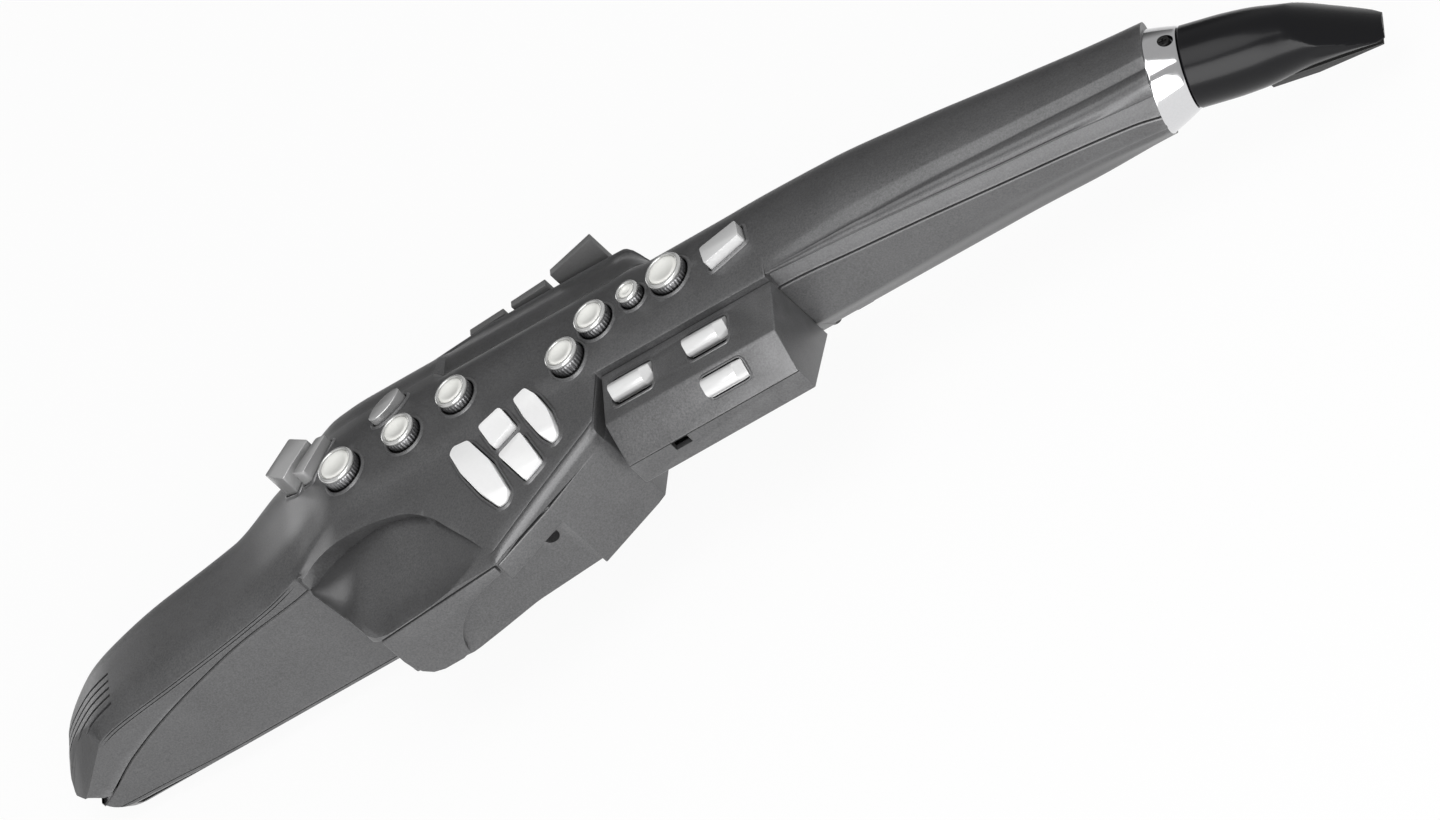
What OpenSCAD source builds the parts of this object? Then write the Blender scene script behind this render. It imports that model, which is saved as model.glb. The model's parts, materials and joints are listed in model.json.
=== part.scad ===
// Digital wind controller: a saxophone-style electronic instrument with a breath mouthpiece,
// sprung keys on both faces, a palm key housing, a hand guard and a battery compartment.
// It lies on its back: X runs along the body towards the mouthpiece, Z is up out of the key face.

/* [Body] */
// Height of the front face line under the key tops, at the middle of the body
face_drop = 5; // [4:0.1:6.5]
// Distance from the B key to the bottom end of the body
bottom_reach = 309; // [309:0.5:312]
// Distance from the B key to the bend where the lower body starts
lower_reach = 178; // [176:1:182]
// Distance from the B key to the step at the foot of the neck
neck_start = 38; // [38:1:42]
// Distance from the B key to the top end of the neck
neck_reach = 188.6; // [188:0.1:190]
// Slope of the lower body's front face, in degrees
lower_slope = 10.2; // [9.6:0.1:10.8]
// Half width of the body at the foot of the neck
body_half = 22; // [21.5:0.1:23]
// Radius of the neck's round top end
neck_half = 19; // [18.8:0.1:19.4]
// Half width of the lower body
lower_half = 21; // [20:0.1:22]
// Depth of the flat back below the key tops
back_drop = 51; // [49:0.5:54]
// Depth of the battery cover's face below the key tops
base_drop = 86; // [84:0.5:88]
// Shell wall thickness
wall = 2.2; // [1.6:0.1:2.6]
// Reach of the ledge that carries the side keys, from the key row
ledge_reach = 41; // [40:0.5:43]

/* [Pinky wing and hand guard] */
// Reach of the hand guard from the key row
guard_reach = 75; // [73:0.5:80]
// Thickness of the hand guard plate
guard_t = 2.5; // [2:0.1:3]
// Depth of the hand guard's lower edge below the key tops
guard_drop = 48; // [45:0.5:50]
// Depth of the hand scoop's floor below the key tops
scoop_drop = 21.5; // [19:0.5:22]
// Thickness of the wing's outer apron
apron_t = 2.5; // [2:0.1:3]

/* [Palm key housing] */
// Reach of the palm key housing from the key row
palm_reach = 57; // [55:0.5:60]
// Tilt of the palm key faces, in degrees
palm_tilt = 50.9; // [50:0.1:52]
// Depth of the housing's flat top below the key tops
palm_top_drop = 10.6; // [10:0.1:12]
// Length of the palm housing towards the bottom end, from the B key
palm_back = 36; // [35.5:0.5:38]
// Length of a palm key
palm_key_l = 17; // [15:0.5:18]
// Width of a palm key
palm_key_w = 7.6; // [6.5:0.1:8]

/* [Round keys] */
// Diameter of the B and D key caps
key_big_d = 15.2; // [14.5:0.1:15.6]
// Diameter of the A, G, F and E key caps
key_mid_d = 13.6; // [13:0.1:14.4]
// Diameter of the small bis key cap
key_small_d = 9.4; // [9:0.1:10]
// Width of the metal rim round each pearl
rim_w = 1.5; // [1.2:0.1:1.8]
// Depth of a pearl touch
pearl_t = 1.6; // [1.2:0.1:2.5]
// Travel of a pressed key
key_travel = 2; // [1.5:0.1:2.2]
// Side clearance of a key in its opening
key_gap = 0.5; // [0.4:0.1:0.8]
// Diameter of a key stem
stem_d = 6; // [5:0.1:6.5]
// Running clearance of a stem in the key frame
stem_gap = 0.08; // [0.05:0.01:0.1]
// Rise of the pinky table keys above the wing
pinky_rise = 3; // [2.6:0.1:3.6]

/* [Key frame and boards] */
// Depth of the key frame's top face below the key tops
frame_drop = 19.5; // [19:0.1:20.5]
// Thickness of the key frame
frame_t = 2; // [1.6:0.1:2.4]
// Thickness of a circuit board
board_t = 1.6; // [1.2:0.1:2]
// Height of the stand-offs under the main board
standoff_h = 6; // [5:0.5:8]

/* [Side and octave keys] */
// Thickness of a side key plate
side_key_t = 3; // [2.5:0.1:3.5]
// Space between a side key and the ledge
side_key_gap = 5; // [4:0.1:6]
// Thickness of a side key's finger pad
side_pad_t = 3; // [2:0.1:4]
// Height of the octave rollers above the back
octave_rise = 3; // [2.5:0.1:4]
// Diameter of an octave roller
roller_d = 7; // [6:0.1:7.4]
// Diameter of the left thumb rest
thumb_plate_d = 19; // [16:0.5:20]

/* [Mouthpiece and ring] */
// Length of the chrome neck ring
ring_l = 12.5; // [11:0.5:14]
// Diameter of the ring at the body
ring_big_d = 38; // [37:0.1:38.2]
// Diameter of the ring at the mouthpiece
ring_small_d = 30.4; // [30.2:0.1:32]
// Tilt of the ring and the mouthpiece, in degrees
mouth_tilt = 17; // [15:0.5:18]
// Length of the mouthpiece along its axis
mouth_l = 70.4; // [68:0.1:72]
// Diameter of the mouthpiece at the ring
mouth_big_d = 30; // [29:0.1:30.2]
// Diameter of the mouthpiece where its beak starts
mouth_small_d = 22.8; // [22:0.1:25]
// Diameter of the tenon that the mouthpiece slides on
tenon_d = 18; // [16:0.1:19]
// Length of the tenon
tenon_l = 20; // [18:0.5:24]
// Diameter of the breath channel
breath_d = 5; // [4:0.1:6]

/* [Battery, speaker and sockets] */
// Length of an AA cell
cell_l = 50.5; // [50:0.1:50.5]
// Diameter of an AA cell
cell_d = 14.5; // [14:0.1:14.5]
// Diameter of the speaker
speaker_d = 28; // [24:0.5:30]
// Bore of the headphone socket
phone_bore_d = 3.6; // [3.5:0.1:3.8]
// Bore of the power inlet
power_bore_d = 5.6; // [5.5:0.1:5.8]
// Bore of the strap eye
strap_bore_d = 9; // [8:0.5:12]
// Thickness of the strap eye
strap_t = 4; // [3:0.1:5]

/* [Hidden] */
$fn = 48;

// Far beyond the body in every direction, for cutting
far = 400;
// Small overlap used inside unions, and the resting gap between touching pieces
lap = 0.4;
seat = 0.1;
// Gap between a moving piece and the face it rests against
free = 0.3;

// Colours
graphite = [0.38, 0.38, 0.38];
dark = [0.16, 0.16, 0.17];
silver = [0.8, 0.8, 0.8];
pearl = [0.93, 0.93, 0.9];
black = [0.04, 0.04, 0.04];
green = [0.1, 0.35, 0.2];

// Ends of the whole instrument, from which the frame's origin is worked out
side_reach = ledge_reach + side_key_gap + side_key_t + side_pad_t;
neck_end_z = -37.6;
ring_fall = 1.3;
mouth_x = neck_reach + ring_l;
mouth_z = neck_end_z - ring_fall;
tip_x = mouth_x + mouth_l * cos(mouth_tilt) - 3.4;
frame_shift = [(bottom_reach - tip_x) / 2, (guard_reach - side_reach) / 2, base_drop];

// Side view of the body: front face line, then the back line
wing_back = lower_reach + 2;
function lower_z(x) = -20.1 - (-lower_reach - x) * tan(lower_slope);
front_line = [
    [-bottom_reach, -65], [-bottom_reach + 1, -60], [-bottom_reach + 8, -52.5],
    [-bottom_reach + 18, -45.3], [-bottom_reach + 28, lower_z(-bottom_reach + 28) - 1],
    [-bottom_reach + 38, lower_z(-bottom_reach + 38)],
    [-lower_reach - 20, lower_z(-lower_reach - 20)], [-lower_reach, -17.5],
    [-lower_reach + 14, -11], [-lower_reach + 28, -face_drop - 1.2],
    [-lower_reach + 42, -face_drop], [neck_start + 6, -face_drop + 0.3],
    [neck_start + 30, -face_drop + 0.3], [far, -face_drop + 0.3]];
// Both ends of the slope between the deep battery part and the flat back
deep_end = 137;
shallow_end = 108;
back_line = [
    [far, -far], [neck_start + 20, -far], [neck_start + 20, -back_drop], [-shallow_end, -back_drop],
    [-deep_end, -base_drop + 2],
    [-deep_end - 5, -base_drop], [-bottom_reach + 14, -base_drop],
    [-bottom_reach + 9, -base_drop + 3], [-bottom_reach + 4, -base_drop + 10]];

// Plan of the body, seen from the key side
plan = [
    [-bottom_reach, -14.6], [-bottom_reach + 1.5, -16.8], [-bottom_reach + 7, -18.2],
    [-bottom_reach + 30, -lower_half + 1.8],
    [-bottom_reach + 66, -lower_half], [-wing_back, -lower_half],
    [-wing_back + 31, -guard_reach + 4], [-wing_back + 35, -guard_reach],
    [-90.6, -guard_reach], [-43.6, -guard_reach + 27.2], [-40.5, -guard_reach + 29.6],
    [-palm_back - seat, -body_half], [far, -body_half], [far, body_half], [-8, body_half],
    [-26, ledge_reach - 1], [-100, ledge_reach], [-150, ledge_reach], [-186, 31], [-208, lower_half],
    [-bottom_reach + 66, lower_half], [-bottom_reach + 30, lower_half - 4],
    [-bottom_reach + 12, 12.5], [-bottom_reach + 4, 9], [-bottom_reach, 4]];

// Sections across the body, looking along it: the lower body's front, then its back
lower_top = [
    [-lower_half, -far / 4], [-lower_half, -24.8], [-lower_half * 0.93, -22.4],
    [-lower_half * 0.8, -21],
    [-lower_half * 0.45, -19.9], [lower_half * 0.45, -19.9], [lower_half * 0.8, -21.2],
    [lower_half * 0.95, -24], [lower_half, -27.6], [lower_half, -far / 4]];
lower_base = [
    [-lower_half, 0], [lower_half, 0], [lower_half, -base_drop + 7.5], [lower_half - 9, -base_drop],
    [-lower_half + 9, -base_drop], [-lower_half, -base_drop + 7.5]];
lower_side = [[0, -12], [22, -12], [30, -16], [33, -26], [33, -44], [27, -60], [0, -60]];
middle_section = [
    [-guard_reach - 2, -17.5], [-60, -13.5], [-40, -10], [-22, -7.6], [-14, -face_drop - 0.7],
    [-6, -face_drop], [8, -face_drop], [14, -face_drop - 1], [18, -face_drop - 3], [22, -12],
    [32, -13.8], [36, -15.8], [39, -19], [ledge_reach, -24], [ledge_reach, -37], [36, -46],
    [30, -back_drop], [lower_half, -back_drop], [lower_half, -base_drop + 7.5],
    [lower_half - 9, -base_drop], [-lower_half + 9, -base_drop], [-lower_half, -base_drop + 7.5],
    [-lower_half, -back_drop], [-guard_reach - 2, -back_drop]];

// Neck sections: half widths and depths of the left half, each with its place along the body
neck_mid = 106;
neck_far = 148;
neck_sections = [
    [neck_start - lap, [[22, -38], [22, -19], [20.5, -13], [17, -8.3], [10, -4.9], [0, -4.5]],
        12, -back_drop],
    [neck_mid, [[21, -39], [21, -25], [19.6, -18.8], [16.5, -13.3], [10, -9.3], [0, -8.5]],
        12, -back_drop],
    [neck_far, [[20, -41], [20, -30], [18.6, -23.4], [15, -18.2], [9, -15.2], [0, -14.3]], 11, -53]];

// Seam between the two shells in the side view
seam_line = [
    [-far, -74], [-bottom_reach, -74], [-bottom_reach + 10, -69], [-bottom_reach + 30, -59.5],
    [-bottom_reach + 53, -48.8], [-bottom_reach + 71, -42.6], [-bottom_reach + 96, -36],
    [-lower_reach - 4, -31], [-lower_reach + 13, -25.5], [-lower_reach + 28, -22.6], [-90, -22.6],
    [neck_start - 8, -17.8], [neck_start, -15.8], [neck_start + 33, -18.8], [neck_start + 81, -24.8],
    [neck_start + 140, -34], [neck_reach, -37.2], [far, -37.2]];

// Hand scoop: its arch in plan, and the space above its floor in the end view
scoop_plan = [
    [-wing_back - 8, -lower_half + 2], [-wing_back + 5, -26], [-150, -29.5], [-131, -33],
    [-117, -39.5], [-108, -50], [-99, -62], [-91.5, -guard_reach - 0.2], [-91.5, -far / 2],
    [-far, -far / 2], [-far, -lower_half - 6], [-wing_back - 8, -lower_half - 6]];
scoop_floor = [
    [-18, -12], [-27, -14.5], [-33, -17.8], [-45, -scoop_drop + 1], [-60, -scoop_drop + 1],
    [-70, -scoop_drop + 2.5], [-guard_reach, -17.2], [-far / 2, -17.2], [-far / 2, far], [-18, far]];

// The wing's outer edge in plan, and its apron
function wing_line(x) = -guard_reach + (x + 90.6) * 27.2 / 47;
wing_corner_x = -43.6;
apron_x = -67;
apron_drop = 53;

// Plan of the rear shell, set in under the wing
rear_flank = [
    [-wing_back + 31, -guard_reach + 4 + guard_t], [-wing_back + 34, -guard_reach + guard_t + seat],
    [-127, -guard_reach + guard_t + seat], [-112, -guard_reach + 6.4], [-96, -guard_reach + 10.6],
    [apron_x - seat, -guard_reach + 13.6],
    [apron_x - seat, wing_line(apron_x) + apron_t * 1.16 + seat],
    [wing_corner_x - 1, wing_line(wing_corner_x) + apron_t + 3 * seat],
    [-43.2, -guard_reach + 31], [-40.3, -30.8], [-38.6, -30.8], [-palm_back - 1.6, -body_half]];
rear_plan = concat([[-far, -far / 2], [-wing_back - 20, -far / 2], [-wing_back, -lower_half]],
    rear_flank, [[-palm_back + 10, -far / 2], [far, -far / 2], [far, far / 2], [-far, far / 2]]);
rear_plan_in = concat([[-far, -far / 2], [-wing_back - 18, -far / 2], [-wing_back + 3, -lower_half]],
    [for (p = rear_flank) [p[0], p[1] + 1.25 * wall]],
    [[-palm_back + 8, -far / 2], [far, -far / 2], [far, far / 2], [-far, far / 2]]);
// Side view of the guard, each point at its share of the way from its lower to its upper end
guard_back = -wing_back + 35;
guard_front = -91.5;
function guard_at(share) = guard_back + share * (guard_front - guard_back);
guard_outline = [
    [guard_front, -22.7], [guard_back, -22.7], [guard_at(0.02), -guard_drop + 7],
    [guard_at(0.06), -guard_drop + 2], [guard_at(0.11), -guard_drop], [guard_at(0.34), -guard_drop],
    [guard_at(0.42), -guard_drop + 6], [guard_at(0.49), -guard_drop + 11.5],
    [guard_at(0.59), -guard_drop + 17], [guard_at(0.73), -guard_drop + 21],
    [guard_at(0.88), -guard_drop + 24]];

// Screws that hold the shells together, through posts on both
post_places = [[-104, 14], [-58, 13], [10, 15.2], [-24, -15], [18, -15.2], [118, -8.5], [160, 8.5]];
post_r = 3.5;
post_split = -23.8;
screw_r = 1.5;
screw_head_r = 2.8;
screw_head_h = 2;
neck_slim_x = 140;
// Top of a shell screw, lower where the neck is slim
function screw_top(p) = p[0] > neck_slim_x ? -21 : post_split + 9;
standoffs = [[-86, -8], [-80, 13], [-40, 3], [18, 6]];
pillar_places = [[-136, 11], [-70, 6], [-28, 12], [27, 13]];
pillar_r = 2;

// Sockets, switches, the display and the fittings on the back, each with its place along the body
socket_z = -56;
phone_x = -bottom_reach + 71;
usb_x = -bottom_reach + 85;
power_x = -bottom_reach + 98;
phone_barrel_d = 7;
power_barrel_d = 8.5;
usb_w = 9;
usb_h = 3.2;
display_x = 89;
display_l = 26;
display_w = 18;
display_t = 1.4;
button_x = 68;
button_y = 6.5;
button_d = 5;
button_rise = 1.5;
knob_x = 52;
knob_y = 4.5;
knob_d = 13;
knob_h = 4.5;
knob_shaft_d = 6;
switch_x = 52;
switch_y = -8;
switch_l = 8;
switch_w = 4;
switch_travel = 4;
thumb_x = 12;
octave_x = [36.6, 27.4, -3.4, -12.6];
roller_l = 18;
hook_x = -86;
hook_lug_l = 9;
hook_lug_w = 5;
hook_travel = 5;
strap_x = -42;
eye_drop = 9;

// Speaker and sound slots
speaker_x = -bottom_reach + 42;
speaker_drop = 8;
slot_count = 5;
slot_pitch = 3.5;
slot_y = -12.5;
slot_w = 1.1;
// Cells: gap around each, rise over the cover's floor, and how far they sit off the middle
cell_gap = 0.3;
cell_rise = 1.5;
cell_side = 1.5;
cell_start = deep_end + 1.8;
cells_in_row = floor((bottom_reach - 17.5 - cell_start) / (cell_l + cell_gap));
// The cover's upper edge and its open end, and the tray over the cells
cover_line = 77;
cover_end = deep_end + 5;
tray_z = -base_drop + wall + cell_rise + cell_d + cell_gap;
tray_t = 1.6;

// Breath tube and ring screw
tube_d = 8;
tube_x = 38;
ring_screw_d = 4.6;
ring_screw_turn = 30;

// Beak and reed table of the mouthpiece: the end of its straight part, where the beak and the table
// start, the beak's slope and its crown
flare_l = 24;
beak_start = 44;
beak_x = mouth_x + beak_start;
beak_z = mouth_z - 3.6;
beak_slope = 46;
beak_r = 13;
tip_z = mouth_z - 27;
table_x = mouth_x + 19;
table_z = mouth_z - 18.2;
// Width and thickness of the reed, and the length of its thick end
reed_w = 13;
reed_t = 2.8;
reed_bark_l = 18;

// Depths of the moving keys: cap, well, clip under the frame, contact dome and pearl clearance
cap_h = 10;
well_deep = 19;
clip_t = 1.2;
dome_h = 1.2;
pearl_gap = 0.05;
board_z = -frame_drop - frame_t - free - clip_t - key_travel - 0.2 - dome_h;
main_z = -back_drop + wall + standoff_h;
// Main board: its end towards the bottom, its length, its near edge and its width
main_back = -92;
main_l = 120;
main_edge = -13;
main_w = 30;
frame_plan = [[-170, -11], [-163, -17.5], [-104, -18.8], [-103, -32], [-92, -50], [-86, -57.5],
    [-80, -58], [-66, -53], [-52, -44], [-46, -40], [-44, -18.7], [neck_start - 5, -18.7],
    [neck_start - 5, 19.4], [-158, 19.4], [-168, 18.4], [-170, 16]];

// Round keys: place along the body, place across it, cap diameter
round_keys = [[0, 0, key_big_d], [-16, 0, key_small_d], [-32.4, -1.6, key_mid_d],
    [-45.7, -11.6, key_mid_d], [-93, 0, key_mid_d], [-117, -3.5, key_mid_d], [-144, -4, key_big_d]];

// Outlines in plan of the keys that are not round
function oval(cx, cy, a, b, turn) = [for (t = [0 : 15 : 345])
    [cx + a * cos(t) * cos(turn) - b * sin(t) * sin(turn),
    cy + a * cos(t) * sin(turn) + b * sin(t) * cos(turn)]];
bar_keys = [
    [[16.3, -0.1], [31.9, 3.8], [33, -3.9], [17.5, -8.3]],
    oval(-122.5, 13.2, 7.5, 3, 30),
    [[-164.3, 6.4], [-153.1, 17], [-148.9, 16.2], [-159.7, 4.5]],
    [[-176.3, 13.6], [-164.8, 24.6], [-156.9, 19.2], [-168.9, 7.8]],
    [[-85.3, -20.2], [-75, -17.3], [-70.9, -26.7], [-81.1, -31.3]],
    [[-69.2, -17.5], [-63.6, -15.5], [-60, -20], [-56.5, -28], [-54.8, -36], [-55, -40], [-58, -41.6],
        [-61.6, -37], [-66.4, -26.5]],
    [[-79.3, -36.3], [-69, -31.6], [-63.1, -46.7], [-71.3, -50.8]],
    [[-98.8, -24.7], [-96.7, -22.3], [-90.3, -22.9], [-83, -36], [-78.3, -51.2], [-80.7, -54.6],
        [-83.9, -55], [-89.6, -46.9], [-95.5, -35]]];
bar_low = [9, 10, 15, 16.8, 13.5, 14, 16.5, 16.5];
bar_stems = [[25, -2.4], [-122.5, 13.2], [-156.6, 10.8], [-165.5, 15.8], [-78.1, -23.9],
    [-61.5, -28], [-70.8, -41.4], [-88, -38.5]];
stem_places = concat(round_keys, bar_stems);
flat_top = [[-far / 4, 0], [far / 4, 0], [far / 4, -far], [-far / 4, -far]];
function level_top(z) = [for (p = flat_top) [p[0], p[1] + z]];
wing_top = [[-60, -13.5 + pinky_rise], [-40, -10 + pinky_rise], [-22, -7.6 + pinky_rise],
    [-14, -face_drop + pinky_rise], [-14, -60], [-60, -60]];
bar_tops = [level_top(0), level_top(-1.5), level_top(-3), level_top(-3.5), wing_top, wing_top,
    wing_top, wing_top];

// Side keys: both ends along the body, and the height of the plate at each end
side_keys = [[-57, -35.5, -15.5, -10], [-77, -61, -19.3, -18.1], [-96.5, -81, -21.3, -20.3]];

// Palm keys in the frame of the sloping face: along the body, up the slope, height of the top
palm_edge = palm_reach - 16.6 * cos(palm_tilt);
palm_seam_z = -palm_top_drop - 16.6 * sin(palm_tilt);
palm_keys = [[-22.9, 8.1, -6.6], [9.8, 9, -6.9], [12.9, -6.3, 4]];
palm_cap_h = 7.4;
palm_frame_drop = 19;
palm_well_deep = palm_frame_drop - 2;
palm_frame_w = 25.4;
palm_section = [[-body_half - seat, -palm_top_drop], [-palm_edge, -palm_top_drop],
    [-palm_reach, palm_seam_z], [-palm_reach, -34], [-body_half - seat, -45]];
palm_inside = [[-body_half + 1, -palm_top_drop - wall],
    [-palm_edge + wall * 0.5, -palm_top_drop - wall], [-palm_reach + wall, palm_seam_z - wall * 0.5],
    [-palm_reach + wall, -34 + wall * 0.9], [-body_half + 1, -45 + wall]];

// A flat outline in the side view, made solid across the body
module across(points, half = 120) rotate([90, 0, 0])
    translate([0, 0, -half]) linear_extrude(height = 2 * half) polygon(points);
// A flat outline in the end view, made solid along the body from x0 to x1
module along(points, x0, x1) translate([x0, 0, 0]) rotate([90, 0, 90])
    linear_extrude(height = x1 - x0) polygon(points);
// A flat outline in plan, made solid from z0 up to z1
module upright(points, z0, z1) translate([0, 0, z0])
    linear_extrude(height = z1 - z0) polygon(points);
// An outline drawn in by a distance
module drawn_in(points, inset) offset(delta = -inset) polygon(points);
module placed() translate(frame_shift) children();

// The whole body, drawn in by an inset for the cavity
module body_block(inset = 0) difference() {
    intersection() {
        translate([0, 0, -far / 2]) linear_extrude(height = far) drawn_in(plan, inset);
        rotate([90, 0, 0]) translate([0, 0, -far / 2]) linear_extrude(height = far)
            drawn_in(concat(front_line, back_line), inset);
        union() {
            intersection() {
                translate([-lower_reach, 0, 0]) rotate([0, -lower_slope, 0]) translate([-far, 0, 0])
                    rotate([90, 0, 90]) linear_extrude(height = far + lap) drawn_in(lower_top, inset);
                translate([-far, 0, 0]) rotate([90, 0, 90])
                    linear_extrude(height = far - lower_reach + lap) drawn_in(lower_base, inset);
            }
            translate([-bottom_reach + 94, 0, 0]) rotate([90, 0, 90])
                linear_extrude(height = 40) drawn_in(lower_side, inset);
            translate([-lower_reach - lap, 0, 0]) rotate([90, 0, 90])
                linear_extrude(height = lower_reach + neck_start + lap) drawn_in(middle_section, inset);
            neck(inset);
        }
    }
    // The back is cut away under the palm housing, in line with the neck's flank
    translate([-palm_back + 2 - inset, 0, 0]) rotate([90, 0, 90])
        linear_extrude(height = palm_back + neck_start - 2 + inset) offset(delta = inset)
        polygon([[-body_half - 0.7, -37], [-12, -back_drop], [-12, -far / 4],
        [-far / 4, -far / 4], [-far / 4, -37]]);
}

// The neck: from its squarish foot to the round end at the ring
module neck(inset) {
    hull() {
        neck_slice(neck_sections[0], inset);
        neck_slice(neck_sections[1], inset);
    }
    hull() {
        neck_slice(neck_sections[1], inset);
        neck_slice(neck_sections[2], inset);
        translate([neck_reach - lap - inset, 0, neck_end_z]) rotate([0, 90 + mouth_tilt, 0])
            cylinder(r = neck_half - inset, h = lap, $fn = 64);
    }
}
module neck_slice(row, inset) translate([row[0], 0, 0]) rotate([90, 0, 90]) linear_extrude(height = lap)
    offset(delta = -inset) polygon(concat([for (p = row[1]) [-p[0], p[1]]],
        [for (i = [4 : -1 : 0]) row[1][i]], [[row[2], row[3]], [-row[2], row[3]]]));

// The space above or below the seam between the two shells
module seam_side(up) {
    line = [for (p = seam_line) [p[0], p[1] - (up > 0 ? 0 : seat)]];
    across(concat(line, [[far, up * far], [-far, up * far]]), far / 2);
}

// The hand scoop, grown outwards by the wall for the cavity below it
module scoop(grow = 0) {
    intersection() {
        translate([0, 0, -far / 2]) linear_extrude(height = far) offset(delta = grow)
            polygon(scoop_plan);
        along([for (p = scoop_floor) [p[0], p[1] - grow]], -far, far);
    }
}

// A rounded bar seen from above
module bar(l, w, r, h) linear_extrude(height = h)
    offset(r = r) square([l - 2 * r, w - 2 * r], center = true);

// Screw posts, hung from the front shell or standing in the rear shell
module posts(z0, z1, r) for (p = post_places)
    translate([p[0], p[1], z0]) cylinder(r = r, h = z1 - z0);

// Opening in the body's flank behind the palm keys
module palm_window() translate([-palm_back + 3, -body_half - 1, -35])
    cube([palm_back + neck_start - 6, 4.2, 22]);

// Every opening in the front shell for a key
module key_wells() {
    for (k = round_keys) translate([k[0], k[1], -well_deep]) cylinder(d = k[2] + 2 * key_gap, h = far);
    for (outline = bar_keys) translate([0, 0, -well_deep]) linear_extrude(height = far)
        offset(delta = key_gap) polygon(outline);
}

module front_shell() placed() color(graphite) difference() {
    union() {
        intersection() {
            difference() {
                body_block();
                scoop();
                difference() {
                    body_block(wall);
                    scoop(wall);
                }
            }
            seam_side(1);
        }
        intersection() {
            union() {
                posts(post_split, 0, post_r);
                for (p = pillar_places) translate([p[0], p[1], -frame_drop + seat])
                    cylinder(r = pillar_r, h = frame_drop);
            }
            body_block(wall / 2);
        }
        apron();
        intersection() {
            speaker_place() translate([0, 0, seat]) difference() {
                cylinder(d = speaker_d, h = 12);
                translate([0, 0, -1]) cylinder(d = speaker_d - 2 * wall, h = 14);
            }
            body_block(wall / 2);
        }
    }
    key_wells();
    palm_window();
    for (p = post_places) translate([p[0], p[1], post_split - 1])
        cylinder(r = screw_r + seat / 2, h = screw_top(p) - post_split + 2.5);
    grille();
    tube_end();
}

// The outer apron of the pinky wing, which hangs over the rear shell's flank
module apron() {
    upright([
        [apron_x, wing_line(apron_x)], [wing_corner_x, wing_line(wing_corner_x)],
        [-40.5, -guard_reach + 29.6], [-37.5, -31], [-40, -31], [-42.8, -guard_reach + 30.6],
        [wing_corner_x - 0.8, wing_line(wing_corner_x) + apron_t],
        [apron_x, wing_line(apron_x) + apron_t * 1.16]], -apron_drop, -20);
}

// Sound slots in the bottom end
module grille() {
    for (i = [0 : slot_count - 1]) translate([-bottom_reach + 22, slot_y + i * slot_pitch, -60])
        bar(24, slot_w, slot_w / 2 - 0.01, 60);
}

// The round end of the neck is open for the tenon's tube
module tube_end() translate([neck_reach - 12, 0, neck_end_z]) rotate([0, 90, 0])
    cylinder(d = tube_d + 2 * seat, h = 18.2);

module rear_shell() placed() color(graphite) difference() {
    union() {
        intersection() {
            difference() {
                body_block();
                difference() {
                    intersection() {
                        body_block(wall);
                        upright(rear_plan_in, -far / 2, far / 2);
                    }
                    scoop(wall - seat);
                }
            }
            seam_side(-1);
            upright(rear_plan, -far / 2, far / 2);
        }
        intersection() {
            posts(-far / 4, post_split - seat, post_r);
            body_block(wall / 2);
        }
        for (p = standoffs) translate([p[0], p[1], -back_drop + wall / 2])
            cylinder(r = 2.5, h = standoff_h + wall / 2 - seat);
        // Tray over the cells
        intersection() {
            translate([-bottom_reach + 17.5, -far / 2, tray_z])
                cube([bottom_reach - 17.5 - deep_end + 4, far, tray_t]);
            body_block(wall / 2);
        }
    }
    // Open underside for the cells, closed by the battery cover
    translate([-far - cover_end, -far / 2, -far]) cube([far, far, far - cover_line]);
    cell_room();
    posts(-back_drop - 20, post_split, screw_r + seat / 2);
    posts(-back_drop - 20, -back_drop + screw_head_h, screw_head_r + 0.2);
    for (k = side_keys) side_arm(k, 0.4);
    for (x = octave_x) translate([x, 0, -far / 2]) bar(roller_d + 1, roller_l + 1, 1, far / 2 - 20);
    translate([thumb_x, 0, -far / 2]) cylinder(d = thumb_plate_d + 2 * seat, h = far / 2 - back_drop + 1.2);
    translate([hook_x, 0, -far / 2]) bar(hook_lug_l + 2 * hook_travel + 1, hook_lug_w + 0.6, 1, far / 2 - 30);
    translate([display_x, 0, -far / 2]) bar(display_l + 2 * seat, display_w + 2 * seat, 1,
        far / 2 - back_drop + display_t);
    translate([display_x, 0, -far / 2]) bar(display_l - 5, display_w - 5, 1, far / 2 - 30);
    for (y = [-button_y, button_y]) translate([button_x, y, -far / 2])
        cylinder(d = button_d + 2 * free, h = far / 2 - 30);
    translate([knob_x, knob_y, -far / 2]) cylinder(d = knob_shaft_d + 2 * stem_gap, h = far / 2 - 30);
    translate([switch_x, switch_y, -far / 2])
        bar(switch_l + switch_travel + 1, switch_w + 0.6, 1, far / 2 - 30);
    socket_frame(phone_x) cylinder(d = phone_barrel_d + 2 * seat, h = 60);
    socket_frame(power_x) cylinder(d = power_barrel_d + 2 * seat, h = 60);
    socket_frame(usb_x) bar(usb_w + 2 * seat, usb_h + 2 * seat, usb_h / 2 - 0.2, 60);
    palm_window();
    tube_end();
}

module battery_cover() placed() color(graphite) difference() {
    intersection() {
        body_block();
        translate([-far - cover_end - free, -far / 2, -far]) cube([far, far, far - cover_line - free]);
    }
    cell_room();
    difference() {
        body_block(wall);
        translate([-far, -far / 2, -far]) cube([far - bottom_reach + 9, far, far]);
    }
    for (i = [0 : 3]) translate([-deep_end - 14 - i * 3, -8, -base_drop - lap]) cube([1.2, 16, 1]);
}

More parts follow.
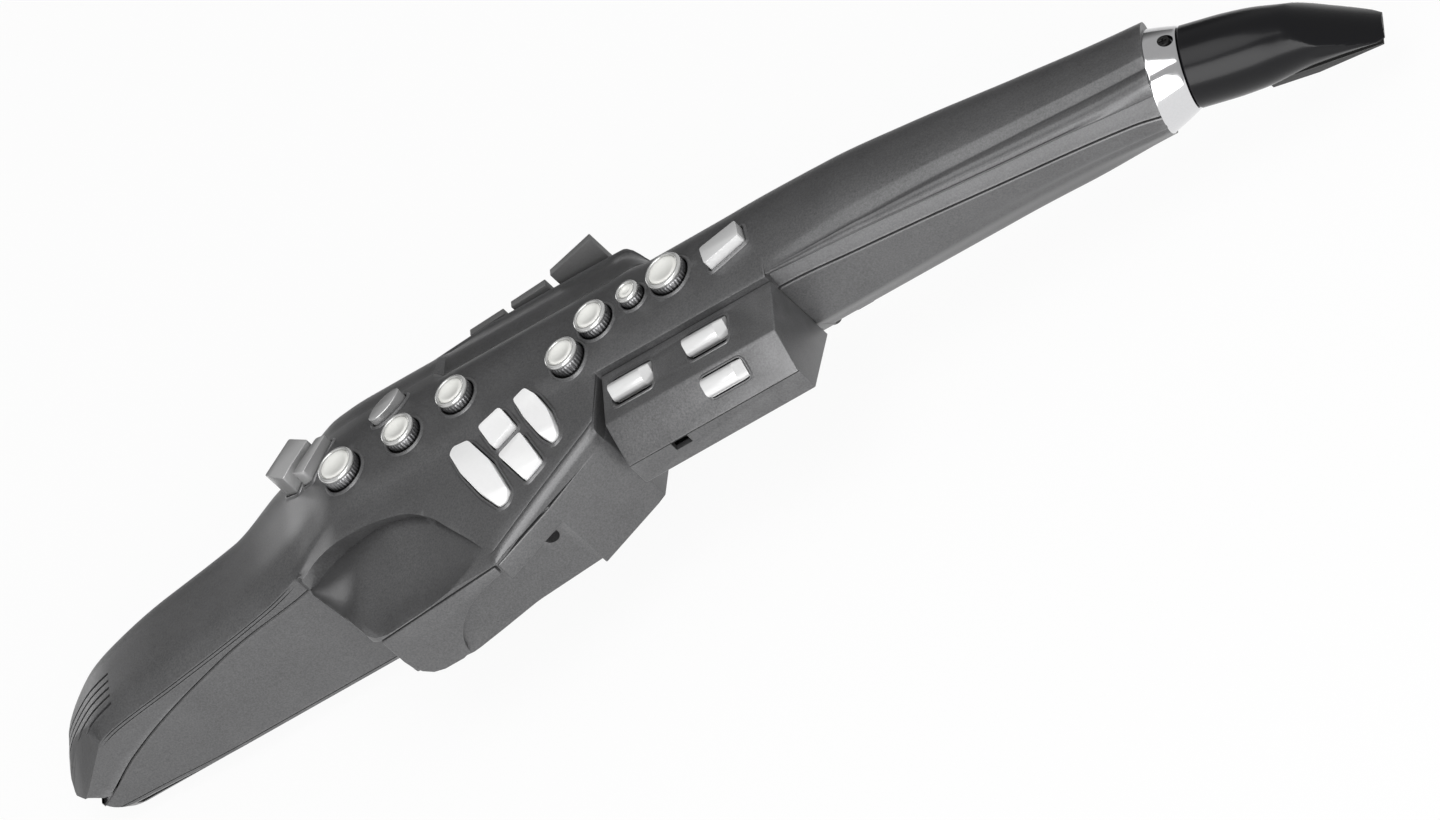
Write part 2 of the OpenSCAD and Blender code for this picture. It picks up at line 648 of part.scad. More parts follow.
module palm_housing() placed() color(graphite) difference() {
    along(palm_section, -palm_back, neck_start);
    along(palm_inside, -palm_back + wall, neck_start - wall);
    for (k = palm_keys) palm_local() translate([k[0], k[1], -palm_well_deep])
        bar(palm_key_l + 2 * key_gap, palm_key_w + 2 * key_gap, 1.8, 40);
    for (k = palm_keys) palm_local() translate([k[0], k[1], -palm_frame_drop - 1])
        cylinder(d = stem_d + 2 * free, h = 6);
    translate([-18, -palm_reach - 1, palm_seam_z - 4.6]) cube([7, wall + 2, 4]);
}

module hand_guard() placed() color(graphite) translate([0, -guard_reach + guard_t, 0])
    across_one(guard_outline, guard_t);
// A flat outline in the side view, made solid from its own face outwards
module across_one(points, t) rotate([90, 0, 0]) linear_extrude(height = t) polygon(points);

module ring_frame() translate([neck_reach + seat, 0, neck_end_z]) rotate([0, 90 + mouth_tilt, 0]) children();
module mouth_frame() translate([mouth_x, 0, mouth_z]) rotate([0, 90 + mouth_tilt, 0]) children();

module neck_ring() placed() color(silver) difference() {
    union() {
        hull() {
            ring_frame() cylinder(d = ring_big_d, h = lap, $fn = 64);
            mouth_frame() translate([0, 0, -lap]) cylinder(d = ring_small_d, h = lap, $fn = 64);
        }
        mouth_frame() translate([0, 0, -lap]) cylinder(d = tenon_d, h = tenon_l);
    }
    translate([mouth_x - 8, 0, mouth_z]) rotate([0, 90 + mouth_tilt, 0]) cylinder(d = breath_d, h = 60);
    tube_end();
    screw_frame() translate([0, 0, -3]) cylinder(d = ring_screw_d + 2 * seat, h = 10);
    screw_frame() translate([0, 0, -8]) cylinder(d = ring_screw_d / 2 + 2 * seat, h = 10);
}

// The ring screw sits on top of the ring
module screw_frame() translate([neck_reach + ring_l / 2 + 6.4, 0, neck_end_z + 15.6])
    rotate([0, mouth_tilt - 9, 0]) children();
module ring_screw() placed() color(dark) screw_frame() difference() {
    union() {
        translate([0, 0, -2.9]) cylinder(d = ring_screw_d, h = 2.6);
        translate([0, 0, -7.9]) cylinder(d = ring_screw_d / 2, h = 5.2);
    }
    for (a = [0, 90]) rotate([0, 0, a]) translate([-1.5, -0.35, -1.4]) cube([3, 0.7, 3]);
}

module mouthpiece() placed() color(black) difference() {
    mouth_frame() rotate_extrude() polygon([[0, 0], [mouth_big_d / 2, 0], [mouth_big_d / 2, 12],
        [mouth_big_d / 2 - 0.6, flare_l], [mouth_small_d / 2, beak_start],
        [mouth_small_d / 2 - 1, mouth_l + 4],
        [0, mouth_l + 4]]);
    mouth_frame() translate([0, 0, -1]) cylinder(d = tenon_d + 2 * seat, h = tenon_l + 2);
    mouth_frame() cylinder(d = breath_d + 1, h = mouth_l - 22);
    // The beak: a crowned slope on the key side, a flat table for the reed and tapered flanks
    difference() {
        translate([beak_x, -far / 2, beak_z - 40]) cube([far, far, far]);
        beak_frame() translate([-beak_r, 0, -60]) cylinder(r = beak_r, h = 120);
    }
    translate([tip_x, -far / 2, -far / 2]) cube([far, far, far]);
    across([[table_x - 8, table_z - 4], [table_x, table_z], [tip_x + 9, tip_z - 1.7], [tip_x + 9, -far],
        [table_x - 8, -far]]);
    for (m = [0, 1]) mirror([0, m, 0]) upright([[beak_x - 30, mouth_big_d / 2 + 0.2],
        [beak_x, mouth_small_d / 2 - 0.4], [tip_x - 8, 8.6], [tip_x - 3, 7.2],
        [tip_x - 0.6, 4.8], [tip_x, 2], [tip_x + 20, 1.9],
        [tip_x + 20, far / 4], [beak_x - 30, far / 4]], -far / 2, far / 2);
    // Window that the reed closes
    translate([table_x + 12, -4, tip_z - 10]) cube([tip_x - table_x - 15, 8, 16]);
}

// Frame on the beak's crown, with its third axis down the slope
module beak_frame() translate([beak_x, 0, beak_z]) rotate([0, 90 + beak_slope, 0]) rotate([0, 0, 180])
    children();

module reed() placed() color(dark) {
    across([[table_x + 1, table_z - 0.6], [tip_x - 1.5, tip_z - 1.65], [tip_x - 1.5, tip_z - 2.3],
        [table_x + reed_bark_l, table_z - 0.6 - reed_t - reed_bark_l * 0.24],
        [table_x + 1, table_z - 0.6 - reed_t]], reed_w / 2);
}

module breath_tube() placed() color(pearl) translate([tube_x, 0, neck_end_z]) rotate([0, 90, 0])
    difference() {
    cylinder(d = tube_d, h = neck_reach + 6 - tube_x);
    translate([0, 0, -1]) cylinder(d = breath_d - 1, h = far);
}

module key_frame() placed() color(dark) {
    difference() {
        upright(frame_plan, -frame_drop - frame_t, -frame_drop);
        posts(-60, 0, post_r + 0.15);
        for (p = stem_places) translate([p[0], p[1], -40]) cylinder(d = stem_d + 2 * stem_gap, h = 40);
    }
    for (p = pillar_places) translate([p[0], p[1], board_z + seat])
        cylinder(r = pillar_r, h = -frame_drop - board_z - seat - frame_t / 2);
}

module palm_local() translate([0, -palm_edge, -palm_top_drop]) rotate([palm_tilt, 0, 0]) children();
module palm_key_frame() placed() color(dark) palm_local() difference() {
    translate([-palm_back + wall + seat, -13.2, -palm_frame_drop - frame_t])
        cube([palm_back + neck_start - 2 * wall - 2 * seat, palm_frame_w, frame_t]);
    for (k = palm_keys) translate([k[0], k[1], -far / 2]) cylinder(d = stem_d + 2 * stem_gap, h = far);
}

module key_board() placed() color(green) {
    difference() {
        upright(frame_plan, board_z - board_t, board_z);
        posts(-60, 0, post_r + 0.15);
    }
    for (p = stem_places) translate([p[0], p[1], board_z - lap]) cylinder(d = 5, h = dome_h + lap);
}

module main_board() placed() color(green) {
    difference() {
        translate([main_back, main_edge, main_z]) cube([main_l, main_w, board_t]);
        posts(-base_drop, 0, post_r + free);
    }
    translate([tube_x - 12, -5, main_z + board_t - lap]) cube([9, 10, neck_end_z - main_z + 3]);
    translate([tube_x - 4, 0, neck_end_z]) rotate([0, 90, 0]) cylinder(d = breath_d - 1 - 2 * seat, h = 10);
}

// Sockets on the side away from the player's palm
module socket_frame(x) translate([x, 0, socket_z]) rotate([-90, 0, 0]) children();
module headphone_jack() placed() color(black) socket_frame(phone_x) difference() {
    union() {
        translate([-5, -4.5, lower_half - 15]) cube([10, 9, 12.7]);
        cylinder(d = phone_barrel_d, h = lower_half);
    }
    translate([0, 0, lower_half - 12]) cylinder(d = phone_bore_d, h = 20);
    translate([0, 0, -1]) cylinder(d = phone_barrel_d + 1, h = lower_half - 13.9);
}
module power_inlet() placed() color(black) socket_frame(power_x) {
    difference() {
        union() {
            translate([-5.5, -5, lower_half - 14]) cube([11, 10, 11.7]);
            cylinder(d = power_barrel_d, h = lower_half);
        }
        translate([0, 0, lower_half - 10]) cylinder(d = power_bore_d, h = 20);
        translate([0, 0, -1]) cylinder(d = power_barrel_d + 1, h = lower_half - 12.9);
    }
    translate([0, 0, lower_half - 11]) cylinder(d = 2, h = 9.5);
}
module usb_port() placed() color(silver) socket_frame(usb_x) difference() {
    translate([0, 0, lower_half - 9]) bar(usb_w, usb_h, usb_h / 2 - 0.2, 9);
    difference() {
        translate([0, 0, lower_half - 8]) bar(usb_w - 0.6, usb_h - 0.6, usb_h / 2 - 0.5, 10);
        translate([-usb_w / 2 + 1.4, -0.35, lower_half - 9]) cube([usb_w - 2.8, 0.7, 7]);
    }
}

module speaker_place() translate([speaker_x, 0, lower_z(speaker_x) - speaker_drop])
    rotate([0, -lower_slope, 0]) children();
module speaker() placed() color(dark) speaker_place() difference() {
    union() {
        translate([0, 0, -3]) cylinder(d = speaker_d, h = 3);
        translate([0, 0, -7]) cylinder(d1 = speaker_d * 0.6, d2 = speaker_d - 3, h = 4.2);
        translate([0, 0, -10.5]) cylinder(d = speaker_d * 0.55, h = 4);
    }
    translate([0, 0, -2.6]) cylinder(d1 = speaker_d * 0.35, d2 = speaker_d - 5, h = 2.7);
}

module cell_frame(y) translate([-cell_start, y * (cell_d + cell_gap) / 2 - cell_side,
    -base_drop + wall + cell_rise + cell_d / 2]) rotate([0, -90, 0]) children();
// Room for the cells in the walls, where the bottom end tapers
module cell_room() for (y = [-1, 1]) cell_frame(y)
    cylinder(d = cell_d + 2 * cell_gap, h = cells_in_row * (cell_l + cell_gap));
module battery_cells() placed() color(silver) for (i = [0 : cells_in_row - 1], y = [-1, 1])
    cell_frame(y) translate([0, 0, i * (cell_l + cell_gap)]) {
        cylinder(d = cell_d, h = cell_l - 1);
        translate([0, 0, cell_l - 1 - lap]) cylinder(d = 5.5, h = 1 + lap);
    }

module display_window() placed() color(black) translate([display_x, 0, -back_drop])
    bar(display_l, display_w, 1, display_t - seat);

// A small push button in the back
module back_button(y) placed() color(dark) translate([button_x, y, -back_drop]) {
    translate([0, 0, -button_rise]) cylinder(d = button_d, h = button_rise + wall + 0.5);
    translate([0, 0, wall + free]) cylinder(d = button_d + 2, h = 1);
}
module menu_button() back_button(-button_y);
module enter_button() back_button(button_y);

module volume_knob() placed() color(dark) translate([knob_x, knob_y, -back_drop]) {
    difference() {
        translate([0, 0, -free - knob_h]) cylinder(d = knob_d, h = knob_h);
        for (i = [0 : 17]) rotate([0, 0, i * 20])
            translate([knob_d / 2, 0, -knob_h - 1]) cylinder(d = 1, h = knob_h);
        translate([-0.4, 0, -knob_h - 1]) cube([0.8, knob_d / 2 - 1, 1.4]);
    }
    translate([0, 0, -free - 1]) cylinder(d = knob_shaft_d, h = 7);
}
module power_switch() placed() color(dark) translate([switch_x, switch_y, -back_drop]) {
    translate([-switch_travel / 2, 0, -1.5]) bar(switch_l, switch_w, 1, 1.5 + wall + free + lap);
    translate([-switch_travel / 2, 0, wall + free]) bar(switch_l + 3, switch_w + 1.6, 1, 1.2);
}

// An octave roller, lying across the back under the left thumb
module octave_key(i) placed() color(dark) translate([octave_x[i], 0, -back_drop]) {
    translate([0, roller_l / 2, roller_d / 2 - octave_rise]) rotate([90, 0, 0])
        cylinder(d = roller_d, h = roller_l);
    translate([0, 0, wall + free]) bar(roller_d + 1.6, roller_l + 3, 1, 1.2);
}
module octave_key_1() octave_key(0);
module octave_key_2() octave_key(1);
module octave_key_3() octave_key(2);
module octave_key_4() octave_key(3);
module thumb_plate() placed() color(dark) translate([thumb_x, 0, -back_drop - 1])
    cylinder(d = thumb_plate_d, h = 2.1);

module thumb_hook() placed() color(dark) translate([hook_x, 0, -back_drop]) {
    translate([0, 0, -free - 2]) bar(24, 15, 2, 2);
    translate([0, 0, -free - 1]) bar(hook_lug_l, hook_lug_w, 1, wall + 2.2);
    translate([0, 0, wall + free]) bar(hook_lug_l, hook_lug_w + 4, 1, 1.3);
    intersection() {
        translate([11, 0, -14.5]) rotate([90, 0, 0]) difference() {
            translate([0, 0, -6.5]) cylinder(r = 14, h = 13);
            translate([0, 0, -7]) cylinder(r = 11.2, h = 14);
        }
        translate([-12, -8, -22]) cube([22, 16, 20.3]);
    }
}

module strap_eye() placed() color(silver) translate([strap_x, 0, -back_drop]) {
    translate([0, 0, -seat - 2]) bar(20, 11, 2, 2);
    difference() {
        union() {
            translate([0, strap_t / 2, -eye_drop]) rotate([90, 0, 0])
                cylinder(d = strap_bore_d + 6, h = strap_t);
            translate([-strap_bore_d / 2 - 3, -strap_t / 2, -eye_drop])
                cube([strap_bore_d + 6, strap_t, eye_drop - 1.5]);
        }
        translate([0, far / 4, -eye_drop]) rotate([90, 0, 0])
            cylinder(d = strap_bore_d, h = far / 2);
    }
}

module shell_screws() placed() color(dark) for (p = post_places)
    translate([p[0], p[1], -back_drop]) difference() {
    union() {
        cylinder(r = screw_head_r, h = screw_head_h - seat);
        cylinder(r = screw_r, h = back_drop + screw_top(p));
    }
    for (a = [0, 90]) rotate([0, 0, a]) translate([-1.6, -0.4, -1]) cube([3.2, 0.8, 2]);
}

// The stem of a front key, clipped under the key frame
module key_stem(p, from) translate([p[0], p[1], 0]) {
    translate([0, 0, -frame_drop - frame_t - 1]) cylinder(d = stem_d, h = frame_drop + frame_t + 1 - from);
    translate([0, 0, -frame_drop - frame_t - free - clip_t]) cylinder(d = stem_d + 2.4, h = clip_t);
}

// A round key: a metal cap with a dished seat for its pearl
module round_key(k) placed() color(silver) {
    translate([k[0], k[1], 0]) difference() {
        translate([0, 0, -cap_h]) cylinder(d = k[2], h = cap_h);
        translate([0, 0, -pearl_t]) cylinder(d = k[2] - 2 * rim_w, h = far);
    }
    key_stem(k, cap_h - lap);
}
module pearl_touch(k) placed() color(pearl) translate([k[0], k[1], -pearl_t]) difference() {
    cylinder(d = k[2] - 2 * rim_w - 2 * pearl_gap, h = pearl_t);
    translate([0, 0, pearl_t - 0.7 + k[2]]) sphere(r = k[2]);
}
module key_b() round_key(round_keys[0]);
module key_bis() round_key(round_keys[1]);
module key_a() round_key(round_keys[2]);
module key_g() round_key(round_keys[3]);
module key_f() round_key(round_keys[4]);
module key_e() round_key(round_keys[5]);
module key_d() round_key(round_keys[6]);
module pearl_b() pearl_touch(round_keys[0]);
module pearl_bis() pearl_touch(round_keys[1]);
module pearl_a() pearl_touch(round_keys[2]);
module pearl_g() pearl_touch(round_keys[3]);
module pearl_f() pearl_touch(round_keys[4]);
module pearl_e() pearl_touch(round_keys[5]);
module pearl_d() pearl_touch(round_keys[6]);

// A key cut from an outline in plan, with its top following the face
module bar_key(i, tint) placed() color(tint) {
    intersection() {
        upright(bar_keys[i], -bar_low[i], far / 4);
        along(bar_tops[i], -far, far);
    }
    key_stem(bar_stems[i], bar_low[i] - lap);
}
module front_f_key() bar_key(0, silver);
module f_sharp_key() bar_key(1, silver);
module e_flat_key() bar_key(2, silver);
module low_c_key() bar_key(3, silver);
module g_sharp_key() bar_key(4, pearl);
module c_sharp_key() bar_key(5, pearl);
module low_b_key() bar_key(6, pearl);
module low_b_flat_key() bar_key(7, pearl);

// A side key: a plate beyond the ledge, on an arm through the shell
module side_arm(k, gap) {
    mid = (k[0] + k[1]) / 2;
    translate([mid - 4 - gap, ledge_reach - 5 - gap, -30 - gap])
        cube([8 + 2 * gap, side_key_gap + 5.2 + gap, 5 + 2 * gap]);
}
module side_key(k) placed() color(dark) {
    mid = (k[0] + k[1]) / 2;
    translate([0, ledge_reach + side_key_gap + side_key_t, 0]) across_one([[k[0], -34], [k[1], -34],
        [k[1], k[3]], [k[0], k[2]]], side_key_t);
    translate([0, side_reach, 0]) across_one([[k[0] + 2, -32], [k[1] - 2, -32],
        [k[1] - 2, k[3] - 3], [k[0] + 2, k[2] - 3]], side_pad_t + lap);
    side_arm(k, 0);
    translate([mid - 6, ledge_reach - 5, -32]) cube([12, 1.6, 9]);
}
module side_e_key() side_key(side_keys[0]);
module side_c_key() side_key(side_keys[1]);
module side_b_flat_key() side_key(side_keys[2]);

// A palm key, square to the sloping face of its housing
module palm_key(k) placed() color(silver) palm_local() translate([k[0], k[1], 0]) {
    translate([0, 0, k[2] - palm_cap_h]) bar(palm_key_l, palm_key_w, 1.2, palm_cap_h);
    translate([0, 0, -palm_frame_drop - frame_t - 1]) cylinder(d = stem_d,
        h = k[2] - palm_cap_h + palm_frame_drop + frame_t + 1 + lap);
    translate([0, 0, -palm_frame_drop - frame_t - free - clip_t]) cylinder(d = stem_d + 2.4, h = clip_t);
}
module palm_key_1() palm_key(palm_keys[0]);
module palm_key_2() palm_key(palm_keys[1]);
module palm_key_3() palm_key(palm_keys[2]);

front_shell();
rear_shell();
battery_cover();
palm_housing();
hand_guard();
neck_ring();
ring_screw();
mouthpiece();
reed();
breath_tube();
key_frame();
palm_key_frame();
key_board();
main_board();
headphone_jack();
usb_port();
power_inlet();
speaker();
battery_cells();
display_window();
menu_button();
enter_button();
volume_knob();
power_switch();
octave_key_1();
octave_key_2();
octave_key_3();
octave_key_4();
thumb_plate();
thumb_hook();
strap_eye();
shell_screws();
key_b();
key_bis();
key_a();
key_g();
key_f();
key_e();
key_d();
pearl_b();
pearl_bis();
pearl_a();
pearl_g();
pearl_f();
pearl_e();
pearl_d();
front_f_key();
f_sharp_key();
e_flat_key();
low_c_key();
g_sharp_key();
c_sharp_key();
low_b_key();
low_b_flat_key();
side_e_key();
side_c_key();
side_b_flat_key();
palm_key_1();
palm_key_2();
palm_key_3();
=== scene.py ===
import json
import logging
import math
from dataclasses import dataclass, field
from enum import Enum
from typing import Callable, Iterable, Sequence

import bmesh
import bpy
from mathutils import Matrix, Vector

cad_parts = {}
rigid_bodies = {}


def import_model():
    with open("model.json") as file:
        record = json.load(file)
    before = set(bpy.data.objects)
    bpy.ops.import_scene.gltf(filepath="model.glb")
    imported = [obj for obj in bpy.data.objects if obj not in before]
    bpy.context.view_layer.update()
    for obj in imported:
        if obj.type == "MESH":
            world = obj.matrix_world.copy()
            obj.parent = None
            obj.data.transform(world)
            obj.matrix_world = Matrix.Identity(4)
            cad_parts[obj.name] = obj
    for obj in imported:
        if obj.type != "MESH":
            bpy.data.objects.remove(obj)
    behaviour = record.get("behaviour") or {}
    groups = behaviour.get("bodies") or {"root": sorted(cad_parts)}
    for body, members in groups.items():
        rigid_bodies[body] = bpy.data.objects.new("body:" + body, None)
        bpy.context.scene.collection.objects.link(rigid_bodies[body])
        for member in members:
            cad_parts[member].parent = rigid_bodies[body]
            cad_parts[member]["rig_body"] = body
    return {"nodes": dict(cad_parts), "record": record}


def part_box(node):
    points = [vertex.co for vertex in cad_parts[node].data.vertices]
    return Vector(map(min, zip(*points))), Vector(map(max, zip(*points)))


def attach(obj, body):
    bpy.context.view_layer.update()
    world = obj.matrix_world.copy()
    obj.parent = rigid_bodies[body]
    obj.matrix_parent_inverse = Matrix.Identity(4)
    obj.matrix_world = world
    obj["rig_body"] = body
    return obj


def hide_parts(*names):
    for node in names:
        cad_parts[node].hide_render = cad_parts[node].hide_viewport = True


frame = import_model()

log = logging.getLogger("wind_controller")
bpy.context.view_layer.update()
MM = 0.001
UP = Vector((0, 0, 1))
LOW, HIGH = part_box("key_b")
KEY_ROW = Vector(((LOW.x + HIGH.x) / 2, (LOW.y + HIGH.y) / 2, HIGH.z))

Point2 = tuple[float, float]
Point3 = tuple[float, float, float]
Rings = Sequence[Sequence[Vector]]
Piece = bpy.types.Object
Tree = bpy.types.NodeTree
Socket = bpy.types.NodeSocket
Materials = dict[str, bpy.types.Material]

WELD, CAD_WELD = 1e-7, 2e-6      # metres within which two points are one
FLAT_ANGLE = 1.5                 # degrees under which the CAD's faces are joined up
CORNER_SHARE = 0.45              # largest share of a side that a round corner takes


def place(x: float, y: float, z: float) -> Vector:
    """Turn millimetres from the centre of the B key's top into the frame's metres."""
    return KEY_ROW + Vector((x, y, z)) * MM


def local(point: Vector) -> Vector:
    """Turn a point of the frame into millimetres from the centre of the B key's top."""
    return (point - KEY_ROW) / MM


class Edge(Enum):
    """How a section runs through one of its points."""

    SMOOTH = 0
    SHARP = 1


Knot = tuple[float, float, Edge]


def share(value: float) -> float:
    """Keep a value between 0 and 1."""
    return min(1.0, max(0.0, value))


def eased(value: float) -> float:
    """Change smoothly from 0 to 1 while a value does, and stay there beyond."""
    t = share(value)
    return t * t * (3 - 2 * t)


class Rail:
    """A value that changes along the body without overshoot between its stations."""

    def __init__(self, *stations: Point2) -> None:
        """Store the stations, each a place along the body and a value."""
        self.xs = [s[0] for s in stations]
        self.vs = [s[1] for s in stations]
        steps = [(b[1] - a[1]) / (b[0] - a[0]) for a, b in zip(stations, stations[1:])]
        inner = []
        for a, b in zip(steps, steps[1:]):
            inner.append(0.0 if a * b <= 0 else 2 * a * b / (a + b))
        self.slopes = [steps[0], *inner, steps[-1]]

    def __call__(self, x: float) -> float:
        """Give the value at a place along the body."""
        if x <= self.xs[0]:
            return self.vs[0]
        if x >= self.xs[-1]:
            return self.vs[-1]
        i = max(k for k, s in enumerate(self.xs[:-1]) if s <= x)
        width = self.xs[i + 1] - self.xs[i]
        t = (x - self.xs[i]) / width
        rise = self.vs[i + 1] - self.vs[i]
        a = self.slopes[i] * width - rise
        b = -self.slopes[i + 1] * width + rise
        return self.vs[i] + t * rise + t * (1 - t) * (a * (1 - t) + b * t)


def rail(*stations: Point2) -> Rail:
    """Declare a rail as a field of a class."""
    return field(default_factory=lambda: Rail(*stations))


def spline(points: Sequence[Knot], cuts: int) -> list[Point2]:
    """Run a curve through section points, straight across sharp ones.

    Args:
        points: Each point's two coordinates and whether it is sharp.
        cuts: Number of steps between two points.

    Returns:
        The points of the curve, with the given points among them.
    """
    out: list[Point2] = []
    last = len(points) - 1
    for i in range(last):
        p1, p2 = points[i], points[i + 1]
        p0 = points[i - 1] if i > 0 and p1[2] is Edge.SMOOTH else None
        p3 = points[i + 2] if i + 1 < last and p2[2] is Edge.SMOOTH else None
        for k in range(cuts):
            t = k / cuts
            out.append(tuple(hermite(p0, p1, p2, p3, axis, t) for axis in (0, 1)))
    out.append((points[last][0], points[last][1]))
    return out


def hermite(p0: Knot | None, p1: Knot, p2: Knot, p3: Knot | None, axis: int, t: float) -> float:
    """Give one coordinate of a curve between p1 and p2, with p0 and p3 as neighbours or None."""
    chord = math.dist(p1[:2], p2[:2])
    rise = p2[axis] - p1[axis]
    m1 = m2 = rise
    if p0 is not None and chord > 0:
        before = math.dist(p0[:2], p1[:2])
        m1 = chord * (p2[axis] - p0[axis]) / max(before + chord, 1e-6)
    if p3 is not None and chord > 0:
        after = math.dist(p2[:2], p3[:2])
        m2 = chord * (p3[axis] - p1[axis]) / max(after + chord, 1e-6)
    t2, t3 = t * t, t * t * t
    start = (2 * t3 - 3 * t2 + 1) * p1[axis] + (t3 - 2 * t2 + t) * m1
    return start + (3 * t2 - 2 * t3) * p2[axis] + (t3 - t2) * m2


def rounded(points: Sequence[Point2], radius: float, steps: int = 4) -> list[Point2]:
    """Round each corner of a closed outline with an arc.

    Args:
        points: The outline's corners.
        radius: Radius of the arcs, cut down where a side is short.
        steps: Number of sides of each arc.

    Returns:
        The rounded outline.
    """
    out: list[Point2] = []
    count = len(points)
    for i in range(count):
        a, b, c = (Vector(points[(i + k) % count]) for k in (-1, 0, 1))
        u, v = (a - b), (c - b)
        reach = min(radius, u.length * CORNER_SHARE, v.length * CORNER_SHARE)
        p, q = b + u.normalized() * reach, b + v.normalized() * reach
        for k in range(steps + 1):
            t = k / steps
            out.append(tuple((p * (1 - t) + b * t) * (1 - t) + (b * (1 - t) + q * t) * t))
    return out


def mesh_piece(name: str, points: Iterable[Vector], faces: Iterable[Sequence[int]]) -> Piece:
    """Make an object from points in the frame and faces, with its normals outwards."""
    mesh = bpy.data.meshes.new(name)
    mesh.from_pydata([tuple(p) for p in points], [], [tuple(f) for f in faces])
    piece = bpy.data.objects.new(name, mesh)
    bpy.context.scene.collection.objects.link(piece)
    work = bmesh.new()
    work.from_mesh(mesh)
    bmesh.ops.remove_doubles(work, verts=work.verts, dist=WELD)
    bmesh.ops.recalc_face_normals(work, faces=work.faces)
    if work.calc_volume(signed=True) < 0:
        bmesh.ops.reverse_faces(work, faces=work.faces)
    work.to_mesh(mesh)
    work.free()
    return piece


def loft(name: str, rings: Rings, looped: bool = False) -> Piece:
    """Skin a row of closed rings that have as many points each.

    Args:
        name: Name of the new object.
        rings: Points of each ring, in the frame.
        looped: Whether the last ring joins the first one; otherwise both get a cap.

    Returns:
        The new object.
    """
    count, turns = len(rings[0]), len(rings)
    faces = []
    for r in range(turns if looped else turns - 1):
        n = (r + 1) % turns
        for i in range(count):
            j = (i + 1) % count
            faces.append((r * count + i, r * count + j, n * count + j, n * count + i))
    if not looped:
        faces.append(tuple(range(count)))
        faces.append(tuple((turns - 1) * count + i for i in range(count)))
    return mesh_piece(name, [p for ring in rings for p in ring], faces)


def prism(name: str, outline: Sequence[Point2], low: float, high: float,
          to_frame: Callable[[float, float, float], Vector] = place) -> Piece:
    """Extrude an outline from low to high, in millimetres."""
    return loft(name, [[to_frame(p[0], p[1], level) for p in outline] for level in (low, high)])


def lathe(name: str, profile: Sequence[Point2], centre: Vector, axis: Vector, sides: int = 64,
          ripple: float = 0.0, ridges: int = 0) -> Piece:
    """Turn a profile of radii and heights round an axis.

    Args:
        name: Name of the new object.
        profile: Radius and height of each point, in millimetres, from axis to axis.
        centre: Foot of the axis, in the frame.
        axis: Direction of the axis.
        sides: Number of steps round the axis.
        ripple: Depth of the ridges on points whose radius is marked negative.
        ridges: Number of ridges round the axis.

    Returns:
        The new object.
    """
    turn = UP.rotation_difference(axis).to_matrix()
    rings = []
    for k in range(sides):
        angle = 2 * math.pi * k / sides
        ring = []
        for radius, height in profile:
            size = abs(radius)
            if radius < 0:
                size -= ripple * (0.5 + 0.5 * math.cos(ridges * angle))
            ring.append(centre + turn @ Vector((size * math.cos(angle), size * math.sin(angle), height)) * MM)
        rings.append(ring)
    count = len(profile)
    faces = []
    for k in range(sides):
        n = (k + 1) % sides
        for i in range(count - 1):
            faces.append((k * count + i, n * count + i, n * count + i + 1, k * count + i + 1))
    return mesh_piece(name, [p for ring in rings for p in ring], faces)


def rod(name: str, radius: float, low: float, high: float, centre: Vector, axis: Vector = UP,
        sides: int = 40) -> Piece:
    """Build a plain round rod between two heights along an axis, in millimetres."""
    return lathe(name, [(0, low), (radius, low), (radius, high), (0, high)], centre, axis, sides)


def evaluated(piece: Piece) -> None:
    """Replace a piece's mesh by the result of its modifiers."""
    graph = bpy.context.evaluated_depsgraph_get()
    mesh = bpy.data.meshes.new_from_object(piece.evaluated_get(graph))
    piece.modifiers.clear()
    piece.data = mesh


def carve(piece: Piece, tools: Sequence[Piece], mode: str = "DIFFERENCE") -> None:
    """Cut tools out of a piece, or keep only what it shares with them.

    Args:
        piece: The piece that changes.
        tools: Closed solids, dropped once they have cut.
        mode: The boolean operation.
    """
    for tool in tools:
        cut = piece.modifiers.new("cut", "BOOLEAN")
        cut.operation = mode
        cut.solver = "EXACT"
        cut.object = tool
        evaluated(piece)
    for tool in tools:
        bpy.data.objects.remove(tool)


def shade(piece: Piece, angle: float = 32) -> Piece:
    """Shade a piece smooth, with sharp edges above an angle in degrees."""
    piece.data.shade_smooth()
    piece.data.set_sharp_from_angle(angle=math.radians(angle))
    return piece


def bevel(piece: Piece, width: float, angle: float = 35, steps: int = 2) -> Piece:
    """Round the edges of a piece that are sharper than an angle.

    Args:
        piece: The piece that changes.
        width: Width of the bevel in millimetres.
        angle: Least angle of a bevelled edge, in degrees.
        steps: Number of strips in the bevel.

    Returns:
        The same piece.
    """
    edge = piece.modifiers.new("edge", "BEVEL")
    edge.width = width * MM
    edge.segments = steps
    edge.limit_method = "ANGLE"
    edge.angle_limit = math.radians(angle)
    edge.use_clamp_overlap = True
    edge.harden_normals = False
    evaluated(piece)
    return piece


def copied(node: str, name: str) -> Piece:
    """Make a new piece from a CAD node's mesh, with its flat faces joined up again."""
    source = frame["nodes"][node]
    mesh = source.data.copy()
    piece = bpy.data.objects.new(name, mesh)
    bpy.context.scene.collection.objects.link(piece)
    work = bmesh.new()
    work.from_mesh(mesh)
    bmesh.ops.remove_doubles(work, verts=work.verts, dist=CAD_WELD)
    bmesh.ops.dissolve_limit(work, angle_limit=math.radians(FLAT_ANGLE), verts=work.verts, edges=work.edges)
    work.to_mesh(mesh)
    work.free()
    mesh.materials.clear()
    return piece


def box_of(node: str) -> tuple[Vector, Vector]:
    """Give the corners of a CAD node's box in millimetres."""
    low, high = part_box(node)
    return local(low), local(high)


